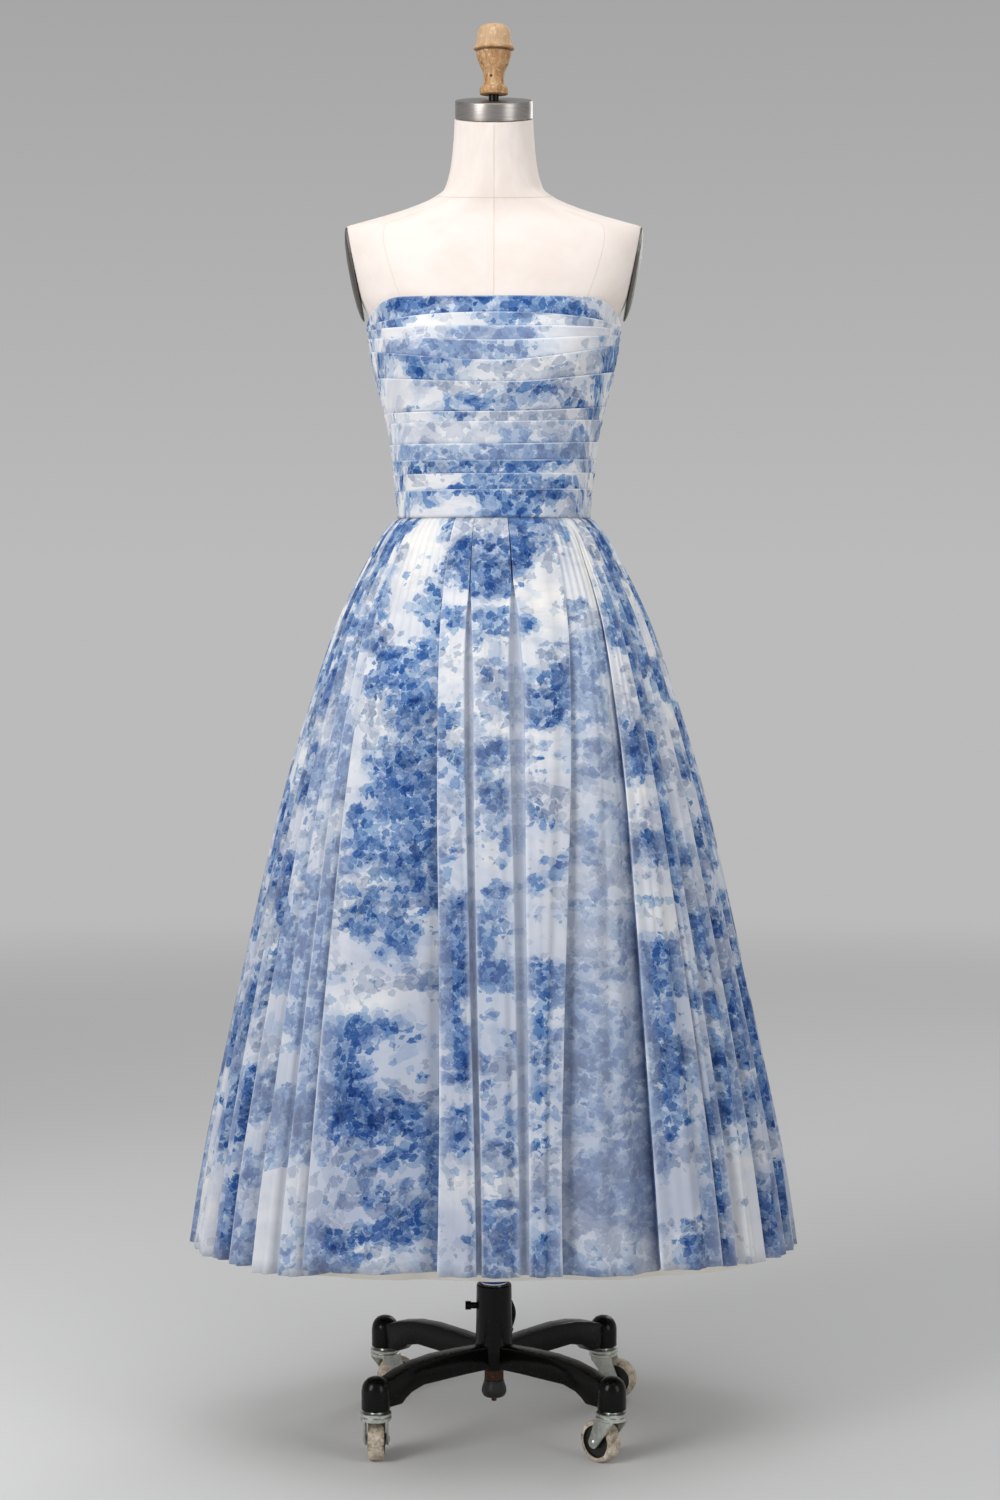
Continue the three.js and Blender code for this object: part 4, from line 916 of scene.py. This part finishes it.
def build_bodice():
    cloth = printed_cloth("printed_bodice", CREAM, 0.03, 0.75)
    for name, cad, low, high, count, middle in BODICE_PANELS:
        azimuth = np.linspace(low + 0.04, high - 0.04, count)
        edges = [around(azimuth, *line) for line in (NECKLINE, *TUCKS)]
        heights, relief, edge_light, down, band = bodice_rows(edges, count)
        fold = signed(azimuth)
        away = np.abs(fold)
        # at the sides the tucks flatten out and the cloth is gathered in slanting ripples
        beside = smooth(away, 48, 80) * (1 - 0.6 * smooth(away, 100, 130))
        slant = np.sin((heights * 0.55 + away * 1.9) * 0.62 + 1.3 * np.sin(heights / 15 + away / 8))
        slant = slant + 0.6 * np.sin((heights * 0.8 + away * 1.3) * 1.05 + 2.0)
        ripple = slant * beside * 0.75
        wander = 0.35 * np.sin(np.radians(fold) * 9 + heights / 11) * (1 - beside)
        calm = 1 - 0.55 * beside
        points = torso_points(azimuth, heights, 3.9 + relief * calm + ripple + wander)
        cut = steps_along(torso_points(azimuth, heights, 4.0))
        cut = cut * (1 + 1.7 * (beside[1:] + beside[:-1]) / 2)
        u = run_along(cut)
        u = u - u[:, middle : middle + 1] + 1700 + low * 3.0 + 37.0 * band[:, None]
        v = down + 300 - 0.8 * np.minimum(away, 90) * smooth(away, 48, 80)
        sheer = np.array(BAND_SHEER)[band][:, None] * np.ones((1, count))
        shade = (1 - smooth(relief, 0.35, 0.9)) * 0.8 * (band < len(TUCKS))[:, None]
        light = edge_light * (1 - 0.5 * beside)
        layers = {"edge": light, "deep": shade, "sheer": sheer}
        layers["bare"] = layers["low"] = layers["gap"] = np.zeros_like(sheer)
        mesh = grid_mesh(name, points * MM, np.stack([u, -v], -1) * MM, layers)
        piece = cloth_piece(name, mesh, cloth, cad, 0.6 * MM, -1)


# ---- hard materials

# The finial's outline in millimetres from its foot, and its foot's height in metres.
FINIAL = [
    (0, 0), (15.5, 0), (17.2, 1.2), (17.8, 3.6), (17.6, 7.0), (16.4, 9.2),
    (13.5, 11.4), (13.0, 14), (12.9, 20), (13.2, 26), (14.2, 29.5), (16.4, 33.5),
    (18.6, 38.8), (20.4, 44), (21.6, 49), (21.9, 52.6), (21.4, 53.8), (22.4, 54.6),
    (25.0, 55.4), (25.5, 57.0), (25.0, 58.6), (23.2, 60.0), (22.0, 62.0), (21.5, 66),
    (21.1, 72), (20.0, 78), (17.6, 82.2), (13.4, 85.2), (7.6, 86.9), (0, 87.5),
]
FINIAL_Z = 1.6675
# The dark knot on the finial, and where the pole's band of painted reflection of the blue dress
# starts and ends, in metres.
KNOT = (-0.0035, -0.0128, FINIAL_Z + 0.0215)
REFLECTION_FROM, REFLECTION_TO = (0.1872, 0.1882), (0.2010, 0.2022)


def brushed(name, colour, roughness):
    g = Graph(name)
    where = g.place()
    lines = g.noise(g.scaled(where, (30.0, 30.0, 900.0)), 1.0, 3.0, 0.6)
    smudge = g.noise(where, 40.0, 4.0, 0.6)
    dark = (*(c * 0.72 for c in colour[:3]), 1.0)
    base = g.mix(g.step(lines, 0.3, 0.7), colour, dark)
    rough = g.add(g.times(smudge, 0.12), roughness)
    return g.close(base, rough, 1.0, g.bump(lines, 0.12, 0.0002))


def chrome_with_painted_reflection():
    """Polished tube with a band of painted reflection, the blue dress seen dark blue in it, between
    the base's hub and the hem.
    """
    g = Graph("pole_chrome")
    where = g.place()
    height = g.axes(where)[2]
    # painted reflection: the blue dress painted into the chrome as a dark blue band just above the
    # hub
    band = g.less(g.step(height, *REFLECTION_FROM), g.step(height, *REFLECTION_TO))
    smudge = g.noise(where, 60.0, 4.0, 0.6)
    blue = g.mix(smudge, linear(18, 42, 104), linear(40, 66, 132))
    base = g.mix(band, linear(214, 218, 226), blue)
    return g.close(base, g.add(g.times(smudge, 0.1), 0.12), 1.0)


def enamel(name, colour, worn, roughness):
    g = Graph(name)
    where = g.place()
    orange = g.noise(where, 420.0, 2.0, 0.5)
    dirt = g.noise(where, 60.0, 5.0, 0.65)
    base = g.mix(g.step(dirt, 0.55, 0.80), colour, worn)
    rough = g.add(g.times(dirt, 0.25), roughness - 0.1)
    gleam = dict(Coat_Weight=0.16, Coat_Roughness=0.10, Specular_IOR_Level=0.10)
    return g.close(base, rough, 0.0, g.bump(orange, 0.10, 0.0004), **gleam)


def turned_wood_material():
    g = Graph("turned_wood")
    where = g.place()
    grain = g.noise(g.scaled(where, (160.0, 160.0, 34.0)), 1.0, 5.0, 0.7, 0.6)
    speck = g.voronoi(where, 520.0, "F1", "3D")
    chip = g.noise(where, 170.0, 4.0, 0.75)
    light = [(0.25, linear(138, 94, 54)), (0.5, linear(184, 140, 94))]
    base = g.ramp(grain, [*light, (0.78, linear(218, 184, 142))])
    base = g.mix(g.step(chip, 0.56, 0.66), base, linear(228, 202, 166))
    base = g.mix(g.step(chip, 0.42, 0.33), base, linear(112, 74, 44))
    dots = g.step(speck["Distance"], 0.16, 0.30, 1.0, 0.0)
    base = g.mix(g.times(dots, 0.30), base, linear(92, 60, 36))
    height = g.axes(where)[2]
    # painted light: the top dome is lighter, as lit from above, and partly worn
    crown = g.step(height, FINIAL_Z + 0.054, FINIAL_Z + 0.062, 0.0, 0.42)
    base = g.mix(crown, base, linear(212, 186, 152))
    # painted shade: a dark line in the groove under the collar
    groove = g.math("ABSOLUTE", g.less(height, FINIAL_Z + 0.0536))
    base = g.mix(g.step(groove, 0.0, 0.0022, 0.85, 0.0), base, linear(70, 44, 26))
    apart = g.vector("DISTANCE", where, KNOT, "Value")
    base = g.mix(g.step(apart, 0.0012, 0.0024, 1.0, 0.0), base, linear(30, 18, 12))
    normal = g.bump(g.add(grain, chip), 0.30, 0.0008)
    return g.close(base, g.add(g.times(chip, 0.25), 0.5), 0.0, normal)


def worn_tread():
    g = Graph("wheel_tread")
    where = g.place()
    blotch = g.noise(where, 90.0, 5.0, 0.7)
    crack = g.voronoi(where, 260.0, "DISTANCE_TO_EDGE", "3D")
    lines = g.step(crack["Distance"], 0.0, 0.05, 1.0, 0.0)
    worn = [(0.30, linear(92, 80, 72)), (0.42, linear(168, 154, 138))]
    worn += [(0.58, linear(212, 199, 180)), (0.76, linear(236, 227, 212))]
    base = g.ramp(blotch, worn)
    base = g.mix(g.times(lines, 0.55), base, linear(58, 50, 44))
    height = g.less(blotch, g.times(lines, 0.5))
    return g.close(base, 0.85, 0.0, g.bump(height, 0.5, 0.0008))


def rough_metal(name, colour, rust, roughness, metallic=1.0, amount=0.62):
    g = Graph(name)
    where = g.place()
    bloom = g.noise(where, 130.0, 5.0, 0.65)
    spots = g.noise(where, 320.0, 4.0, 0.7)
    pale = (*(min(1.0, c * 1.35) for c in colour[:3]), 1.0)
    base = g.mix(g.step(bloom, 0.35, 0.68), colour, pale)
    base = g.mix(g.step(spots, amount, amount + 0.12), base, rust)
    rough = g.add(g.times(bloom, 0.3), roughness - 0.12)
    return g.close(base, rough, metallic, g.bump(bloom, 0.12, 0.0004))


def plywood_material():
    g = Graph("plywood")
    where = g.place()
    layers = g.math("SINE", g.times(g.axes(where)[2], 2400.0))
    grain = g.noise(g.scaled(where, (8.0, 120.0, 120.0)), 1.0, 4.0, 0.6, 0.4)
    base = g.mix(grain, linear(196, 160, 112), linear(150, 112, 72))
    base = g.mix(g.step(layers, 0.2, 0.9, 0.0, 0.35), base, linear(120, 86, 54))
    return g.close(base, 0.8, 0.0, g.bump(grain, 0.2, 0.0005))


steel = brushed("brushed_steel", linear(176, 170, 166), 0.26)
plate_steel = brushed("plate_steel", linear(120, 116, 110), 0.34)
chrome = chrome_with_painted_reflection()
black_iron = enamel("black_iron", linear(5, 5, 4), linear(14, 13, 10), 0.26)
zinc = rough_metal("zinc", linear(186, 188, 182), linear(112, 96, 76), 0.30)
rubber = rough_metal("black_rubber", linear(20, 20, 20), linear(44, 40, 36), 0.42, 0.0)
core = rough_metal("wheel_core", linear(26, 25, 24), linear(70, 62, 54), 0.5, 0.0)
wood = turned_wood_material()
tread = worn_tread()


def paint_nodes():
    """Materials for the CAD nodes that are shown as they are."""
    rusty = rough_metal("rusty_iron", linear(58, 34, 22), linear(104, 60, 34), 0.6, 0.4, 0.5)
    wanted = {
        "arm_plate_left": plate_steel,
        "arm_plate_right": plate_steel,
        "form_board": plywood_material(),
        "zip_slider": zinc,
        "zip_pull": zinc,
        "pole_flange": black_iron,
        "clamp_screw": black_iron,
        "release_lever": black_iron,
        "pole_plug": rusty,
    }
    for name, material in wanted.items():
        slots = nodes[name].material_slots
        for slot in slots:
            slot.material = material
        if not slots:
            nodes[name].data.materials.append(material)


# ---- cap and finial

NECK_TILT, CAP_Z = math.radians(13.6), 1.6605
CAP_R, CAP_EDGE = 48, 1.6


def build_cap():
    r = CAP_EDGE
    turns = np.linspace(0.3, math.pi / 2, 4)
    edge = [(CAP_R - r * (1 - math.cos(a)), r * math.sin(a) - r) for a in turns]
    outline = [(0, -22), (46.8, -22), (CAP_R, -21), (CAP_R, -CAP_EDGE), *edge, (30, 0), (0, 0)]
    place = moved(0, 0, CAP_Z, NECK_TILT, "X")
    look = (steel, "form", "brushed_steel")
    turned_piece("neck_cap_steel", outline, 128, *look, 30, "neck_cap", place)
    stud = [(0, 1659.5), (6.5, 1659.5), (6.5, 1667.2), (0, 1667.2)]
    look = (black_iron, "form", "black_iron")
    turned_piece("finial_stud_pin", stud, 40, *look, 30, "finial_stud")


def build_finial():
    profile = [(max(0, r), z) for r, z in spline(FINIAL, 3)]
    profile[0], profile[-1] = FINIAL[0], FINIAL[-1]
    look = (wood, "form", "turned_wood")
    turned_piece("finial_wood", profile, 72, *look, 40, "finial", moved(0, 0, FINIAL_Z))


# ---- pole and base

# Outlines in millimetres, (radius, height) where they are turned; a leg's runs out and up.
FOOT = [(3.6, 41), (8, 41), (13.2, 43), (15.8, 48), (15.2, 54), (12.8, 61), (12.4, 64), (3.6, 64)]
HUB = [(17.4, 79), (20, 79), (23, 83), (25, 104), (22.8, 120), (22, 183.5), (21, 185), (17.4, 185)]
BOSS = [
    (0, 67), (16.2, 67), (17.5, 68.5), (17.5, 90), (16.6, 95.5), (14.2, 100.6), (10.2, 104.6),
    (5.4, 106.6), (0, 107),
]
LEG = [
    (12, 81), (58, 82.5), (130, 84), (150, 79.5), (160, 74), (167, 68),
    (196, 68), (196, 97), (184, 102), (164, 108), (138, 113), (105, 115),
    (60, 113.5), (12, 110),
]
LUG = [(18.5, 117), (26, 117), (29, 124.2), (18.5, 124.2)]
# How near the axis a leg's inner end may come, and each caster's distance from both axes.
LEG_IN, CORNER = 19.5 * MM, 0.1425


def build_pole():
    tube = soften([(0, 80), (17, 80), (17, 799), (0, 799)], 1.2)
    turned_piece("pole_tube", tube, 64, chrome, "pole", "chrome", 30, "pole")
    look = (rubber, "pole", "black_rubber")
    turned_piece("foot_bumper_rubber", soften(FOOT, 1.6), 56, *look, 40, "foot_bumper", closed=True)


def build_base():
    bm = bmesh.new()
    turned(bm, soften(HUB, 0.8), 96, closed=True)
    for x, y in ((-1, -1), (1, -1), (1, 1), (-1, 1)):
        turned(bm, BOSS, 56, moved(x * CORNER, y * CORNER, 0))
        leg = bmesh.new()
        extruded(leg, LEG, 22, moved(0, 0, 0, math.atan2(y, x)), 2.8, 2)
        for v in leg.verts:
            radial = math.hypot(v.co.x, v.co.y)
            if radial < LEG_IN:
                v.co.x *= LEG_IN / max(radial, 1e-5)
                v.co.y *= LEG_IN / max(radial, 1e-5)
        join(bm, leg)
    extruded(bm, LUG, 9, moved(0, 0, 0, math.radians(40)), 0.6, 1)
    solid_piece("base_iron", bm, black_iron, "base", 32, "base_casting")


# ---- casters

# Each caster's name, corner and heading in degrees.
CASTERS = [
    ("front_left", -1, -1, 90), ("front_right", 1, -1, 135),
    ("back_right", 1, 1, -18), ("back_left", -1, 1, 38),
]
TRAIL, WHEEL_R, FORK_EYE = 18.0, 25.5, 7.5
PLATE_Y, RIVET_Y = 0.01345, 0.0147
RACE = [
    (0, 60), (18.2, 60), (19, 60.8), (19, 63.4), (18.2, 64.2), (11, 64.2), (11, 66.7), (0, 66.7),
]
CROWN = [(0, 54.6), (18, 54.6), (19, 55.6), (19, 58.7), (18, 59.7), (0, 59.7)]
RIVET = [(0, -0.4), (3.8, -0.4), (3.8, 0.5), (3.1, 1.3), (1.6, 1.75), (0, 1.8)]
CORE = [(22.5, 9.6), (19.5, 9.7), (18.5, 6), (8.5, 6), (7, 11.4), (3.4, 11.4)]
TREAD = [(19.7, 10), (23.5, 10), (25.0, 8.6), (25.5, 6.8)]
AXLE = [(0, -11.9), (3, -11.9), (3, 11.9), (0, 11.9)]


def mirrored(half):
    """A closed outline from its upper half, the lower half first."""
    return [(r, -w) for r, w in half] + half[::-1]


def fork_outline():
    turns = np.linspace(math.radians(215), math.radians(360), 10)
    eye = [(TRAIL + FORK_EYE * math.cos(a), WHEEL_R + FORK_EYE * math.sin(a)) for a in turns]
    return [(-13, 58.5), (-13, 52), *eye, (15.5, 51.6), (14.5, 58.5)]


def build_casters():
    for name, sx, sy, heading in CASTERS:
        fixed, turning, rolling = "base", f"caster_{name}", f"wheel_{name}"
        place = moved(sx * CORNER, sy * CORNER, 0, math.radians(heading))
        cad = f"caster_plate_{name}"
        turned_piece(f"raceway_{name}", RACE, 56, zinc, fixed, "zinc", 30, cad, place)

        bm = bmesh.new()
        turned(bm, CROWN, 56, place)
        for side in (-1, 1):
            extruded(bm, fork_outline(), 2.5, place @ moved(0, side * PLATE_Y, 0), 0.7, 2)
            eye = moved(TRAIL * MM, side * RIVET_Y, WHEEL_R * MM, -side * math.pi / 2, "X")
            turned(bm, RIVET, 28, place @ eye)
        solid_piece(f"fork_plate_{name}", bm, zinc, turning, 35, f"fork_{name}")

        hub = place @ moved(TRAIL * MM, 0, WHEEL_R * MM, math.pi / 2, "X")
        look = (core, rolling, "wheel_rubber")
        turned_piece(f"wheel_core_{name}", mirrored(CORE), 56, *look, 30, rolling, hub, True)
        bm = bmesh.new()
        turned(bm, mirrored(TREAD), 72, hub, closed=True)
        bmesh.ops.recalc_face_normals(bm, faces=bm.faces)
        for v in bm.verts:
            worn = noise.noise(v.co * 140) * 0.35 + noise.noise(v.co * 420) * 0.15
            v.co += (v.co - hub.translation).normalized() * min(0.0, worn - 0.1) * MM
        solid_piece(f"wheel_tread_{name}", bm, tread, rolling, 45)
        look = (zinc, turning, "zinc")
        turned_piece(f"axle_pin_{name}", AXLE, 32, *look, 30, f"axle_{name}", hub)


# ---- studio

FLOOR_SIDE = 80.0
# Light of the backdrop at the horizon and overhead.
HORIZON, OVERHEAD = 0.495, 0.37
BLACK, GLOW = (0.0, 0.0, 0.0, 1.0), (HORIZON, HORIZON, HORIZON, 1.0)
# Each lamp's place, aim, size and watts.
LAMPS = {
    "key": ((-2.6, -2.8, 2.2), (0, 0, 0.95), (1.6, 2.4), 84),
    "fill": ((2.8, -2.6, 1.6), (0, 0, 0.9), (1.6, 2.4), 30),
    "top": ((0.0, -0.6, 3.6), (0, 0, 1.0), (3.0, 2.4), 34),
    "back": ((1.8, 3.4, 2.6), (0, 0, 1.0), (1.6, 2.4), 30),
}


def build_floor():
    """A pale floor that runs out into the same light as the backdrop, alike from every side."""
    g = Graph("studio_paper")
    where = g.place()
    away = g.vector("LENGTH", where, output="Value")
    # painted light: the floor near the form is lighter to the left, as under the key lamp
    left = g.times(g.step(away, 0.4, 2.4, 1.0, 0.0), g.step(g.axes(where)[0], -1.1, 0.1, 1.0, 0.0))
    colour = g.mix(left, linear(206, 206, 206), linear(232, 232, 232))
    colour = g.mix(g.step(away, 1.4, 5.0), colour, BLACK)
    glow = g.mix(g.step(away, 1.2, 5.5), BLACK, GLOW)
    light = dict(Specular_IOR_Level=0.0, Emission_Color=glow, Emission_Strength=1.0)
    side = np.linspace(-FLOOR_SIDE / 2, FLOOR_SIDE / 2, 3)
    mesh = grid_mesh("studio_floor", np.array([[(x, y, 0.0) for x in side] for y in side]))
    mesh.materials.append(g.close(colour, 0.95, **light))
    floor = bpy.data.objects.new("studio_floor", mesh)
    scene.collection.objects.link(floor)


def build_lamps():
    for name, (place, aim, size, watts) in LAMPS.items():
        data = bpy.data.lights.new(name, "AREA")
        data.shape = "RECTANGLE"
        data.size, data.size_y = size
        data.energy = watts
        aimed(name, data, place, aim).visible_camera = False


def build_backdrop():
    """A plain white world, whose light falls off a little from the horizon up."""
    world = bpy.data.worlds.new("studio")
    world.use_nodes = True
    tree = world.node_tree
    where, split, rise = (
        tree.nodes.new(f"ShaderNode{kind}") for kind in ("TexCoord", "SeparateXYZ", "MapRange")
    )
    tree.links.new(where.outputs["Generated"], split.inputs[0])
    tree.links.new(split.outputs[2], rise.inputs[0])
    for socket, value in zip(rise.inputs[1:5], (0.0, 0.21, HORIZON, OVERHEAD)):
        socket.default_value = value
    backdrop = tree.nodes["Background"]
    backdrop.inputs[0].default_value = (1, 1, 1, 1)
    tree.links.new(rise.outputs[0], backdrop.inputs[1])
    scene.world = world


build_skirt()
build_lining()
build_torso()
build_seams()
build_bodice()
build_cap()
build_finial()
build_pole()
build_base()
build_casters()
paint_nodes()
build_floor()
build_lamps()
build_backdrop()
